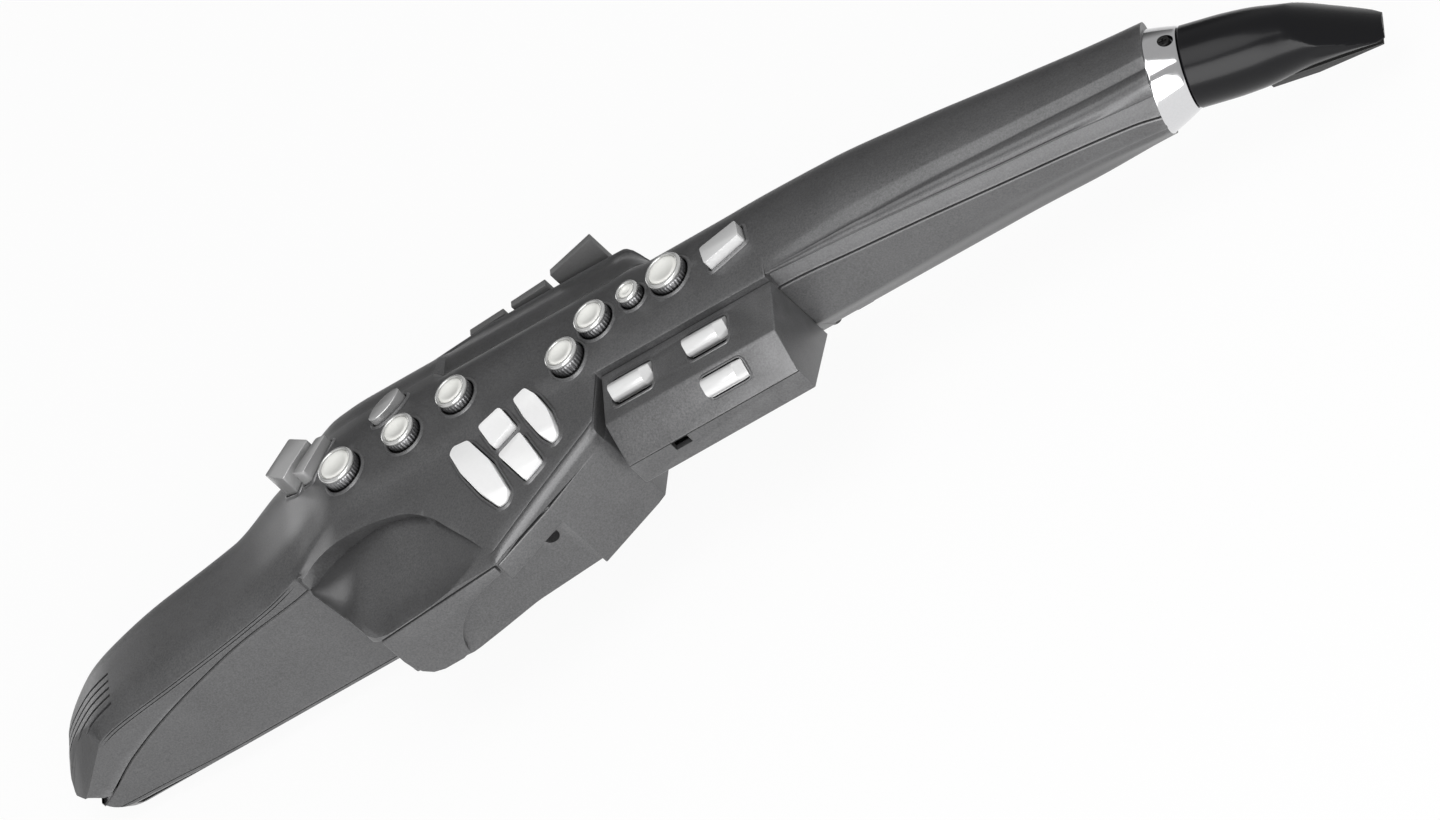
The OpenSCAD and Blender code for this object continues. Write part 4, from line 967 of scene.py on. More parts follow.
    def scoop(self) -> Piece:
        """Build the room of the hand scoop, as the tool that cuts it."""
        rings = []
        for x in [-186 + 3 * i for i in range(34)]:
            high, low, near = self.scoop_wall(x), self.scoop_lip(x), self.scoop_near(x)
            reach = max(2.0, near - max(-75.0, self.along(self.wing_corners, x)))
            dip = self.scoop_dip * min(1.0, reach / 45)
            floor = [(near + 12, high)]
            for k in range(17):
                t = k / 16
                y = near - reach * t
                z = high * (1 - t) + low * t - dip * math.sin(math.pi * t ** 1.5)
                floor.append((y, max(z, self.seam(x) + 0.8)))
            floor.append((-90, low))
            rings.append([place(x, y, z) for y, z in floor] + [place(x, -90, 20), place(x, near + 12, 20)])
        hollow = loft("scoop_room", rings)
        arch = smooth_open(self.scoop_plan[:11], 6) + list(self.scoop_plan[11:])
        grown = []
        for a, b in zip(arch, offset(arch, self.scoop_undercut)):
            part = share((a[0] + 176) / 16) if a[1] > -80 else 0.0
            grown.append((a[0] + (b[0] - a[0]) * part, a[1] + (b[1] - a[1]) * part))
        rings = [[place(p[0], p[1], level) for p in row]
                 for row, level in ((grown, -60), (grown, -19), (arch, -9.5), (arch, 15))]
        carve(hollow, [loft("scoop_arch", rings)], mode="INTERSECT")
        return hollow

    def chin(self) -> Piece:
        """Build the tool that cuts the slanted flat chin at the bottom end."""
        normal = Vector((-0.616, -0.491, 0.617)).normalized()
        across = Vector((0, 1, 0)).cross(normal).normalized()
        upward = normal.cross(across)
        nose = Vector((-300, -10, -56))
        middle = nose + normal * (self.chin_reach - nose.dot(normal))
        half, depth = 45, 40
        rings = [[place(*(middle + normal * d + across * a * half + upward * b * half))
                  for a, b in ((-1, -1), (1, -1), (1, 1), (-1, 1))] for d in (0, depth)]
        return loft("chin_cut", rings)

    def grooves(self) -> list[Piece]:
        """Build the tools that cut the five sound slots."""
        pitch, half_width, depth, step = 3.5, 0.55, 1.1, 1.2
        tools = []
        for k in range(5):
            y = -12.5 + pitch * k
            low = [(x, self.face_height(x, y) - depth) for x in [-271.8 - step * i for i in range(28)]]
            high = [(x, z + 5) for x, z in reversed(low)]
            rings = [[place(x, y + w, z) for x, z in low + high] for w in (-half_width, half_width)]
            tools.append(loft("sound_slot", rings))
        return tools


@dataclass(frozen=True)
class BarPlan:
    """One key cut from an outline in plan."""

    node: str
    outline: tuple[Point2, ...]
    profile: tuple[Point2, ...]
    low: float
    slot: str
    finish: str
    corner: float = 1.3
    edge: float = 0.7


ROUND_KEYS = ("b", "bis", "a", "g", "f", "e", "d")
BAR_KEYS = (
    BarPlan("front_f_key", ((16.3, -0.1), (31.9, 3.8), (33, -3.9), (17.5, -8.3)),
            ((-12, -0.9), (-3.5, 0), (8, -0.2)), 9, "key_silver", "silver", 0.9, 0.35),
    BarPlan("f_sharp_key", tuple(
        (-122.5 + 7.5 * math.cos(t) * 0.866 - 1.5 * math.sin(t),
         13.2 + 7.5 * math.cos(t) * 0.5 + 2.6 * math.sin(t))
        for t in [math.pi * k / 16 for k in range(32)]), ((5, -1.9), (13.5, -1.5), (22, -1.9)), 10,
        "key_silver", "silver_dark", 0.1, 0.5),
    BarPlan("e_flat_key", ((-164.3, 6.4), (-153.1, 17), (-148.9, 16.2), (-159.7, 4.5)),
            ((0, -3.6), (8, -3.1), (20, -3)), 15, "key_silver", "silver_dark", 0.8, 0.4),
    BarPlan("low_c_key", ((-176.3, 13.6), (-164.8, 24.6), (-156.9, 19.2), (-168.9, 7.8)),
            ((4, -4.6), (12, -3.7), (27, -3.5)), 16.8, "key_silver", "silver_dark", 0.8, 0.45),
    BarPlan("g_sharp_key", ((-85.3, -20.2), (-75, -17.3), (-70.9, -26.7), (-81.1, -31.3)),
            ((-34, -6.4), (-30.5, -5.9), (-22, -4.6), (-14, -2.4), (-10, -2.2)), 13.5,
            "table_white", "table", 1.6),
    BarPlan("c_sharp_key", ((-69.2, -17.5), (-63.6, -15.5), (-60, -20), (-56.5, -28), (-54.8, -36),
                            (-55, -40), (-58, -41.6), (-61.6, -37), (-66.4, -26.5)),
            ((-46, -12), (-37.4, -6.6), (-22, -4.5), (-14, -2.4), (-10, -2.2)), 14,
            "table_white", "table", 1.2),
    BarPlan("low_b_key", ((-79.3, -36.3), (-69, -31.6), (-63.1, -46.7), (-71.3, -50.8)),
            ((-54, -12.4), (-46.8, -8.2), (-40, -7), (-28, -5.4)), 16.5, "table_white", "table", 1.4),
    BarPlan("low_b_flat_key", ((-98.8, -24.7), (-96.7, -22.3), (-90.3, -22.9), (-83, -36), (-78.3, -51.2),
                               (-80.7, -54.6), (-83.9, -55), (-89.6, -46.9), (-95.5, -35)),
            ((-58, -13.2), (-50.2, -8.8), (-40, -7), (-22, -4.6), (-16, -3.9)), 16.5,
            "table_white", "table", 1.2),
)
STEM_PLACES = {
    "front_f_key": (25, -2.4), "f_sharp_key": (-122.5, 13.2), "e_flat_key": (-156.6, 10.8),
    "low_c_key": (-165.5, 15.8), "g_sharp_key": (-78.1, -23.9), "c_sharp_key": (-61.5, -28),
    "low_b_key": (-70.8, -41.4), "low_b_flat_key": (-88, -38.5)}


@dataclass
class KeyBars:
    """The keys cut from a plan: the front F key, the silver bars at the lower end and the pinky table."""

    stem: float = 3.0
    stem_foot: float = -23.0

    def build(self, finish: Materials) -> None:
        """Build and dress every bar key."""
        for plan in BAR_KEYS:
            outline = rounded(plan.outline, plan.corner, 3)
            key = prism(plan.node.replace("_key", "_touch"), outline, -plan.low, 12)
            first, last = plan.profile[0], plan.profile[-1]
            under = [(first[0] - 20, -60), *plan.profile, (last[0] + 20, last[1]), (last[0] + 20, -60)]
            carve(key, [slab("key_top", under, -220, 60)], mode="INTERSECT")
            foot, top = self.stem_foot, 1 - plan.low
            profile = [(0, foot), (self.stem - 0.4, foot), (self.stem, foot + 0.4), (self.stem, top),
                       (0, top)]
            stem = lathe("key_stem", profile, place(*STEM_PLACES[plan.node], 0), UP, 24)
            bevel(key, plan.edge, 28, 3)
            dress(shade(joined([key, stem]), 30), finish[plan.finish], plan.slot, plan.node)


def round_plan(letter: str) -> tuple[float, float, float]:
    """Give a round key's centre in plan and its radius."""
    low, high = box_of(f"key_{letter}")
    return (low.x + high.x) / 2, (low.y + high.y) / 2, (high.x - low.x) / 2


@dataclass
class RoundKeys:
    """The seven round keys: a metal cap with a bright rim and a notched skirt, and a dished pearl in it."""

    rim: float = 1.5
    pearl_depth: float = 1.6
    cap: float = 10.0
    stem: float = 3.0
    notch: float = 0.2

    def build(self, finish: Materials) -> None:
        """Build and dress every round key and its pearl."""
        for letter in ROUND_KEYS:
            x, y, radius = round_plan(letter)
            foot = box_of(f"key_{letter}")[0].z
            seat = radius - self.rim
            profile = [(0, foot), (self.stem - 0.4, foot), (self.stem, foot + 0.4), (self.stem, -self.cap),
                       (radius - 0.5, -self.cap), (radius - 0.1, -self.cap + 0.4), (radius - 0.1, -5.2),
                       (-radius, -4.9), (-radius, -2.5), (radius - 0.35, -2.1), (radius - 0.4, -1.75),
                       (radius - 0.08, -1.45), (radius, -1.1), (radius - 0.02, -0.75), (radius - 0.25, -0.3),
                       (radius - 0.6, -0.06), (radius - 0.95, 0), (seat + 0.22, -0.1), (seat + 0.02, -0.35),
                       (seat, -self.pearl_depth), (0, -self.pearl_depth)]
            ridges = max(18, round(radius * 4.6))
            cap = lathe(f"cap_{letter}", profile, place(x, y, 0), UP, ridges * 8, self.notch, ridges)
            dress(shade(cap, 40), finish["rim"], "key_silver", f"key_{letter}")
            cap.data.materials.append(finish["skirt"])
            for face in cap.data.polygons:
                face.material_index = int(local(face.center).z < -1.9)
            low, high = box_of(f"pearl_{letter}")
            size = (high.x - low.x) / 2
            top = high.z
            inner = size - 1.4
            dish = [(0, low.z), (size - 0.3, low.z), (size, low.z + 0.3), (size, top - 0.75),
                    (size - 0.16, top - 0.33), (size - 0.5, top - 0.08), (size - 0.9, top),
                    (inner, top - 0.04)]
            dish += [(inner * t, top - 0.04 - 0.66 * (1 - t * t) ** 1.2)
                     for t in (0.92, 0.82, 0.7, 0.55, 0.4, 0.2)]
            dish.append((0, top - 0.7))
            touch = lathe(f"pearl_touch_{letter}", dish, place(x, y, 0), UP, 96)
            dress(shade(touch, 40), finish["pearl"], "pearl_white", f"pearl_{letter}")


@dataclass
class FrontCarving:
    """Cuts the wells, scoop, sound slots and inside into the front shell and adds its raised detail."""

    casing: Casing
    gap: float = 0.5
    deep: float = 19.0
    lip: float = 1.3
    rise: float = 0.7
    wall: float = 2.5
    board: tuple[Point2, ...] = (
        (-170, -11), (-163, -17.5), (-104, -18.8), (-103, -32), (-92, -50), (-86, -57.5), (-80, -58),
        (-66, -53), (-52, -44), (-46, -40), (-44, -18.7), (33, -18.7), (33, 19.4),
        (-158, 19.4), (-168, 18.4), (-170, 16))

    def outlines(self) -> list[list[Point2]]:
        """List the outlines of every key that stands in a well."""
        rows = [disc(*round_plan(letter)) for letter in ROUND_KEYS]
        return rows + [rounded(plan.outline, plan.corner, 3) for plan in BAR_KEYS]

    def wells(self) -> Piece:
        """Build all wells as one tool."""
        return joined([prism("key_well", offset(row, self.gap), -self.deep, 12) for row in self.outlines()])

    def collar(self, outline: Sequence[Point2]) -> Piece:
        """Build the soft raised edge round one well, standing on the face."""
        inner, outer = offset(outline, self.gap), offset(outline, self.gap + self.lip)
        sections = []
        for a, b in zip(inner, outer):
            za, zb = (self.casing.face_height(*p) for p in (a, b))
            mid = ((a[0] + b[0]) / 2, (a[1] + b[1]) / 2)
            zm = (za + zb) / 2
            quarter = [((a[0] * s + b[0] * (1 - s)), (a[1] * s + b[1] * (1 - s))) for s in (0.8, 0.2)]
            sections.append([place(*a, za - 2), place(*a, za + 0.5 * self.rise),
                             place(*quarter[0], za + 0.9 * self.rise), place(*mid, zm + self.rise),
                             place(*quarter[1], zb + 0.5 * self.rise), place(*b, zb - 0.05),
                             place(*b, zb - 2)])
        return loft("well_collar", sections, looped=True)

    def apron(self) -> Piece:
        """Build the plate that hangs from the wing's ridge."""
        plan = [(-90.4, -74.9), (-68.4, -62.15), (-67.4, -61.6), (-43.6, -47.7), (-40.5, -45.3), (-37.6, -31)]
        drops = [-27, -27, -53, -53, -53, -53]
        rings = []
        for i, drop in enumerate(drops):
            if i == 2:
                rings.append(self.plate_ring(plan, i, drops[0]))
            rings.append(self.plate_ring(plan, i, drop))
        return bevel(shade(loft("apron_plate", rings)), 0.5, 30, 3)

    def plate_ring(self, plan: Sequence[Point2], i: int, drop: float) -> list[Vector]:
        """Trace the plate's section at one corner of its plan."""
        before = Vector(plan[max(0, i - 1)])
        after = Vector(plan[min(len(plan) - 1, i + 1)])
        along = (after - before).normalized()
        inward = Vector((-along.y, along.x))
        x, y = plan[i]
        q = Vector((x, y)) + inward * self.wall
        top = -18.4 if x < -60 else -16.5
        return [place(x, y, top), place(x, y, drop), place(q.x, q.y, drop), place(q.x, q.y, top)]

    def build(self, front: Piece) -> None:
        """Carve the front shell and join its raised detail to it."""
        log.info("carving the front shell")
        carve(front, [self.casing.scoop(), self.casing.chin(), *self.casing.grooves()])
        carve(front, [self.wells(), self.palm_window(), self.inside()])
        parts = [front, self.apron()]
        parts += [self.collar(row) for row in self.outlines()]
        joined(parts)

    def palm_window(self) -> Piece:
        """Build the opening in the flank behind the palm keys."""
        return room("palm_opening", (-33, -23, -35), (35, -18, -13))

    def inside(self) -> Piece:
        """Build the common hollow of both shells."""
        return prism("inner_hollow", offset(self.board, 0.8), -48.7, -16.5)


@dataclass
class BackCarving:
    """Cuts the openings of the back, the sockets and the battery bay into the rear shell."""

    casing: Casing
    octaves: tuple[float, ...] = (36.6, 27.4, -3.4, -12.6)
    posts: tuple[Point2, ...] = (
        (-104, 14), (-58, 13), (10, 15.2), (-24, -15), (18, -15.2), (118, -8.5), (160, 8.5))
    side_arms: tuple[float, ...] = (-46.25, -69.0, -88.75)
    sockets: tuple[tuple[float, float], ...] = ((-238.0, 4.6), (-211.0, 5.1))
    socket_z: float = -56.0
    flank_screw: Point3 = (-75.0, -57.6, -29.3)

    def tools(self) -> list[Piece]:
        """Build every tool and join them into one."""
        back = self.casing.back
        cuts = [room("roller_slot", (x - 4, -10.7, back - 2), (x + 4, 10.7, -47)) for x in self.octaves]
        cuts.append(rod("thumb_recess", 9.7, back - 2, -49.8, place(12, 0, 0), sides=64))
        cuts.append(room("hook_slot", (-96, -2.8, back - 3), (-76, 2.8, -46)))
        cuts.append(room("window_recess", (75.8, -9.2, back - 3), (102.2, 9.2, -49.6)))
        cuts += [rod("button_hole", 2.8, back - 3, -46, place(68, y, 0)) for y in (-6.5, 6.5)]
        cuts.append(rod("knob_hole", 3.4, back - 3, -45, place(52, 4.5, 0)))
        cuts.append(room("switch_slot", (45.5, -10.3, back - 3), (58.5, -5.7, -46)))
        cuts.append(room("switch_room", (43.9, -11.4, -48.9), (60.2, -4.6, -45.5)))
        cuts.append(room("palm_stem_room", (-33, -23, -30), (35, -18, -13)))
        cuts += [rod("screw_seat", 3.1, back - 9, -48.8, place(x, y, 0)) for x, y in self.posts]
        cuts += [room("arm_window", (x - 4.4, 33, -30.4), (x + 4.4, 45, -24.6)) for x in self.side_arms]
        cuts += [rod("socket_hole", radius, 5, 30, place(x, 0, self.socket_z), Vector((0, 1, 0)), 48)
                 for x, radius in self.sockets]
        cuts.append(room("usb_hole", (-228.6, 10, -57.7), (-219.4, 30, -54.3)))
        cuts.append(rod("flank_screw_hole", 3.1, 0, 16, place(*self.flank_screw),
                        Vector((0.1, -1, 0)).normalized()))
        return [joined(cuts)]

    def bay(self) -> Piece:
        """Build the battery bay."""
        return room("battery_bay", (-293, -18.5, -77.5), (-137.5, 15.5, -66))

    def build(self, rear: Piece, inside: Piece) -> None:
        """Carve the rear shell."""
        log.info("carving the rear shell")
        carve(rear, [inside, self.bay(), *self.tools()])


@dataclass
class PalmHousing:
    """The separate box for the three palm keys, with its own touches."""

    low_x: float = -36.0
    high_x: float = 38.0
    tilt: float = 50.9
    crease: Point2 = (-46.53, -10.6)
    keys: tuple[Point3, ...] = ((-22.9, 8.1, -6.6), (9.8, 9.0, -6.9), (12.9, -6.3, 4.0))
    section: tuple[Point2, ...] = ((-22.1, -10.6), (-46.53, -10.6), (-57, -23.5), (-57, -34), (-22.1, -45))
    size: Point2 = (17.0, 7.6)
    corner: float = 1.8
    gap: float = 0.5
    cap: float = 7.4
    lip_width: float = 0.8
    rise: float = 0.6
    root: float = 1.5
    stem: float = 2.9
    stem_foot: float = -22.1

    def spot(self, x: float, u: float, w: float) -> Vector:
        """Turn a place on the sloping face into the frame."""
        t = math.radians(self.tilt)
        return place(x, self.crease[0] + u * math.cos(t) - w * math.sin(t),
                     self.crease[1] + u * math.sin(t) + w * math.cos(t))

    def plan(self, key: Point3, grow: float = 0.0) -> list[Point2]:
        """Trace the rounded outline of one palm key on the sloping face."""
        hx, hu = self.size[0] / 2 + grow, self.size[1] / 2 + grow
        corners = [(key[0] - hx, key[1] - hu), (key[0] + hx, key[1] - hu), (key[0] + hx, key[1] + hu),
                   (key[0] - hx, key[1] + hu)]
        return rounded(corners, self.corner, 5)

    def well(self, key: Point3, low: float, high: float) -> Piece:
        """Build the rounded tool that cuts one palm key's well."""
        return prism("palm_well", self.plan(key, self.gap), low, high, self.spot)

    def lip(self, key: Point3) -> Piece:
        """Build the fine raised line round one palm key's well."""
        base = self.plan(key)
        fall = math.tan(math.radians(self.tilt))
        sections = []
        for a, b in zip(offset(base, self.gap), offset(base, self.gap + self.lip_width)):
            mid = ((a[0] + b[0]) / 2, (a[1] + b[1]) / 2)
            inner, outer = (0.0 if p[1] <= 0 else -p[1] * fall for p in (a, b))
            sections.append([self.spot(*a, inner - self.root), self.spot(*a, inner + self.rise),
                             self.spot(*mid, (inner + outer) / 2 + self.rise),
                             self.spot(*b, outer), self.spot(*b, outer - self.root)])
        return loft("palm_lip", sections, looped=True)

    def housing(self, finish: bpy.types.Material) -> None:
        """Build the box with its wells, its slot and its fine seam."""
        box = slab("palm_box", self.section, self.low_x, self.high_x)
        bevel(box, 0.55, 20, 3)
        inner = [(-20, -13), (-45.4, -13), (-54.6, -24.4), (-54.6, -32), (-20, -42.6)]
        cuts = [slab("palm_hollow", inner, self.low_x + 2.2, self.high_x - 2.2)]
        cuts += [self.well(key, -17, 24) for key in self.keys]
        cuts.append(room("side_slot", (-18, -60, -27.8), (-11, -54, -24)))
        groove = [(-58, -23.62), (-56.55, -23.62), (-56.55, -23.98), (-58, -23.98)]
        cuts.append(slab("palm_seam", groove, self.low_x - 1, self.high_x + 1))
        carve(box, cuts)
        joined([box, *[self.lip(key) for key in self.keys]])
        dress(shade(box, 30), finish, "graphite_shell", "palm_housing")

    def touch(self, index: int, finish: bpy.types.Material) -> None:
        """Build one palm key: a half-round bar with a slanted end on a stem."""
        x0, u0, top = self.keys[index]
        half_x, half_u = self.size[0] / 2, self.size[1] / 2
        section = [(-half_u, -self.cap), (-half_u, -4.1), (-half_u + 0.1, -3.85), (-half_u + 0.35, -3.7)]
        start = -half_u + 0.45
        for k in range(1, 17):
            t = math.pi * k / 17
            section.append((start + (2 * half_u - 0.45) * (1 - math.cos(t)) / 2,
                            -3.6 + 3.6 * math.sin(t) ** 0.85))
        section += [(half_u, -3.9), (half_u, -self.cap)]
        rings = []
        for x, inset in ((-half_x, 0.35), (-half_x + 0.12, 0.1), (-half_x + 0.4, 0), (half_x - 3.6, 0),
                         (half_x - 3.3, 0.08), (half_x, 3.4)):
            rings.append([self.spot(x0 + x, u0 + u * (1 - 0.02 * inset), top + min(w, -inset))
                          for u, w in section])
        key = loft(f"palm_touch_{index + 1}", rings)
        t = math.radians(self.tilt)
        axis = Vector((0, -math.sin(t), math.cos(t)))
        stem = rod("palm_stem", self.stem, self.stem_foot, top - self.cap + 0.5, self.spot(x0, u0, 0),
                   axis, 24)
        dress(shade(joined([key, stem]), 30), finish, "key_silver", f"palm_key_{index + 1}")

    def build(self, finish: Materials) -> None:
        """Build the housing and its three keys."""
        self.housing(finish["graphite"])
        for index in range(len(self.keys)):
            self.touch(index, finish["silver"])


@dataclass
class HandGuard:
    """The plate below the hand scoop, with its curved inner edge."""

    outline: tuple[Point2, ...] = (
        (-145, -22.9), (-144.8, -36), (-144.2, -40), (-142.6, -43.8), (-139.6, -46.8), (-135.5, -48),
        (-127.4, -48), (-124, -47), (-123.2, -43.4), (-121.6, -40), (-119.6, -37), (-117, -34),
        (-112.5, -30.2), (-107, -27), (-101, -24.6), (-95, -23.1), (-92.2, -22.6),
        (-92.2, -18.5), (-119, -20.7))
    front: float = -75.0
    wall: float = 2.5

    def build(self, finish: bpy.types.Material) -> None:
        """Build and dress the plate."""
        rings = [[place(x, y, z) for x, z in self.outline] for y in (self.front, self.front + self.wall)]
        plate = bevel(loft("guard_plate", rings), 0.6, 30, 3)
        dress(shade(plate, 30), finish, "graphite_shell", "hand_guard")


@dataclass
class MouthEnd:
    """The chrome ring on the neck with its tenon, and the mouthpiece that slides on it."""

    tilt: float = 17.0
    neck: Point2 = (188.5, -37.65)
    foot: Point2 = (201.1, -38.9)
    big: float = 19.0
    small: float = 15.2
    crown: float = 13.0
    sides: int = 144

    def spot(self, origin: Point2, s: float, y: float, v: float) -> Vector:
        """Turn a place along, across and above the slanted axis into the frame."""
        t = math.radians(self.tilt)
        return place(origin[0] + s * math.cos(t) + v * math.sin(t), y,
                     origin[1] - s * math.sin(t) + v * math.cos(t))

    def circle(self, origin: Point2, s: float, radius: float) -> list[Vector]:
        """Trace a circle round the slanted axis."""
        turns = [2 * math.pi * k / self.sides for k in range(self.sides)]
        return [self.spot(origin, s, radius * math.sin(t), radius * math.cos(t)) for t in turns]

    def ring(self, finish: bpy.types.Material) -> None:
        """Build the ring as an oblique cone with fine edges, and the tenon inside the mouthpiece."""
        rings = [self.circle(self.neck, s, self.big - less)
                 for s, less in ((0.0, 3), (0.0, 0.5), (0.12, 0.12), (0.5, 0.05))]
        steps = 12
        for k in range(1, steps):
            t = k / steps
            origin = tuple(a + (b - a) * t for a, b in zip(self.neck, self.foot))
            rings.append(self.circle(origin, -0.35 * t, self.big + (self.small - self.big) * t
                                     + 0.18 * math.sin(math.pi * t)))
        rings += [self.circle(self.foot, s, radius) for s, radius in (
            (-0.5, self.small), (-0.35, self.small - 0.1), (-0.25, self.small - 0.5), (-0.25, 9.4),
            (-0.1, 9.0), (19.2, 9.0), (19.8, 8.4), (19.8, 2.6), (6, 2.5))]
        ring = loft("neck_ring_chrome", rings)
        t = math.radians(self.tilt)
        low, high = box_of("ring_screw")
        centre = (low + high) / 2
        axis = Vector((math.sin(t), 0, math.cos(t)))
        dimple = lathe("screw_dimple", [(0, -3.5), (2.55, -3.5), (2.6, 1), (3.0, 4.5), (0, 4.5)],
                       place(centre.x, 0, centre.z), axis, 48)
        carve(ring, [dimple])
        dress(shade(ring, 30), finish, "ring_chrome", "neck_ring")

    def reach(self, s: float, angle: float) -> tuple[float, float]:
        """Find where a ray from inside the mouthpiece meets its nearest limit.

        Args:
            s: Place along the slanted axis.
            angle: Direction of the ray, from straight up.

        Returns:
            The place across and above the axis.
        """
        radius = Rail((0, 14.7), (0.5, 15), (12, 15), (24, 14.4), (44, 11.4), (70, 10.4), (80, 10.4))(s)
        table = -11.85 + (s - 23.5) * 4.75 / 45.5 if s > 22.5 else -40.0
        beak = 9.42 - (s - 43.1) * math.tan(math.radians(29)) if s > 30 else 40.0
        side = Rail((0, 40), (30, 15.2), (46, 11.0), (60, 9.4), (66, 8.2), (69, 6.4), (71, 5.6))(s)
        centre = min(0.0, (min(beak, radius) + max(table, -radius)) / 2)
        dy, dv = math.sin(angle), math.cos(angle)
        low, high = 0.0, 40.0
        for _ in range(26):
            mid = (low + high) / 2
            y, v = dy * mid, centre + dv * mid
            inside = (math.hypot(y, v) < radius and v < beak - y * y / (2 * self.crown) and v > table
                      and (abs(y) / side) ** 6 < 1)
            low, high = (mid, high) if inside else (low, mid)
        return dy * low, centre + dv * low

    def mouthpiece(self, finish: bpy.types.Material) -> None:
        """Build the mouthpiece with its beak, its table and the hole for the tenon."""
        stops = [0, 0.25, 0.6, 1.2, 4, 8, 12, 16, 20, 22.4, 22.7, 24, 27, 30, 33, 36, 39, 41, 42.5, 43.5, 45,
                 47, 50, 53, 56, 59, 62, 64, 66, 67.5, 68.6, 69.3]
        rings = []
        for s in stops:
            ring = []
            for k in range(self.sides):
                y, v = self.reach(s, 2 * math.pi * k / self.sides)
                shrink = 1 - 0.03 * max(0, 0.6 - s)
                ring.append(self.spot(self.foot, s, y * shrink, v * shrink))
            rings.append(ring)
        piece = loft("mouthpiece_beak", rings)
        hole = loft("tenon_hole", [self.circle(self.foot, s, 9.1) for s in (-2, 21)])
        tip = local(rings[-1][0])
        slot = room("breath_slot", (tip.x - 12, -3.5, tip.z - 1.4), (tip.x + 4, 3.5, tip.z - 0.6))
        carve(piece, [hole, slot])
        dress(shade(piece, 26), finish, "mouthpiece_black", "mouthpiece")

    def build(self, finish: Materials) -> None:
        """Build the ring and the mouthpiece."""
        self.ring(finish["chrome"])
        self.mouthpiece(finish["gloss_black"])


@dataclass(frozen=True)
class SmallPiece:
    """A small piece whose shape is its CAD node's, with softened edges."""

    node: str
    slot: str
    edge: float

    def build(self, finish: Materials) -> None:
        """Copy the node, soften its edges and dress it."""
        piece = bevel(copied(self.node, f"{self.node}_soft"), self.edge, 32, 2)
        dress(shade(piece, 32), finish[SLOT_FINISH[self.slot]], self.slot, self.node)


SMALL_PIECES = [SmallPiece(node, slot, edge) for slot, edge, nodes in (
    ("side_grey", 0.3, ("side_e_key", "side_c_key", "side_b_flat_key")),
    ("reed_rubber", 0.25, ("reed",)),
    ("screw_steel", 0.15, ("ring_screw",)),
    ("screw_steel", 0.1, ("shell_screws",)),
    ("window_gloss", 0.25, ("display_window",)),
    ("control_black", 0.3, ("menu_button", "enter_button")),
    ("control_black", 0.25, ("volume_knob", "power_switch")),
    ("control_black", 0.4, ("octave_key_1", "octave_key_2", "octave_key_3", "octave_key_4")),
    ("control_black", 0.5, ("thumb_plate", "thumb_hook")),
    ("eye_steel", 0.4, ("strap_eye",)),
) for node in nodes]


@dataclass
class BatteryCover:
    """The long cover under the lower body, with grip ribs at its end."""

    casing: Casing

    def build(self, block: Piece, finish: bpy.types.Material) -> None:
        """Cut the cover from the back's own block and hollow it."""
        carve(block, [room("cover_share", (-320, -40, -95), (self.casing.cover_end - 0.3, 40, -77.35))],
              mode="INTERSECT")
        carve(block, [room("cover_hollow", (-292.5, -17.6, -84.1), (self.casing.cover_end - 2.5, 14.6, -70))])
        ribs = [room("grip_rib", (-168 + 3.2 * k, -9, -88), (-166.6 + 3.2 * k, 9, -85.5)) for k in range(6)]
        carve(block, [joined(ribs)])
        dress(shade(bevel(block, 0.2, 50, 1), 32), finish, "graphite_shell", "battery_cover")


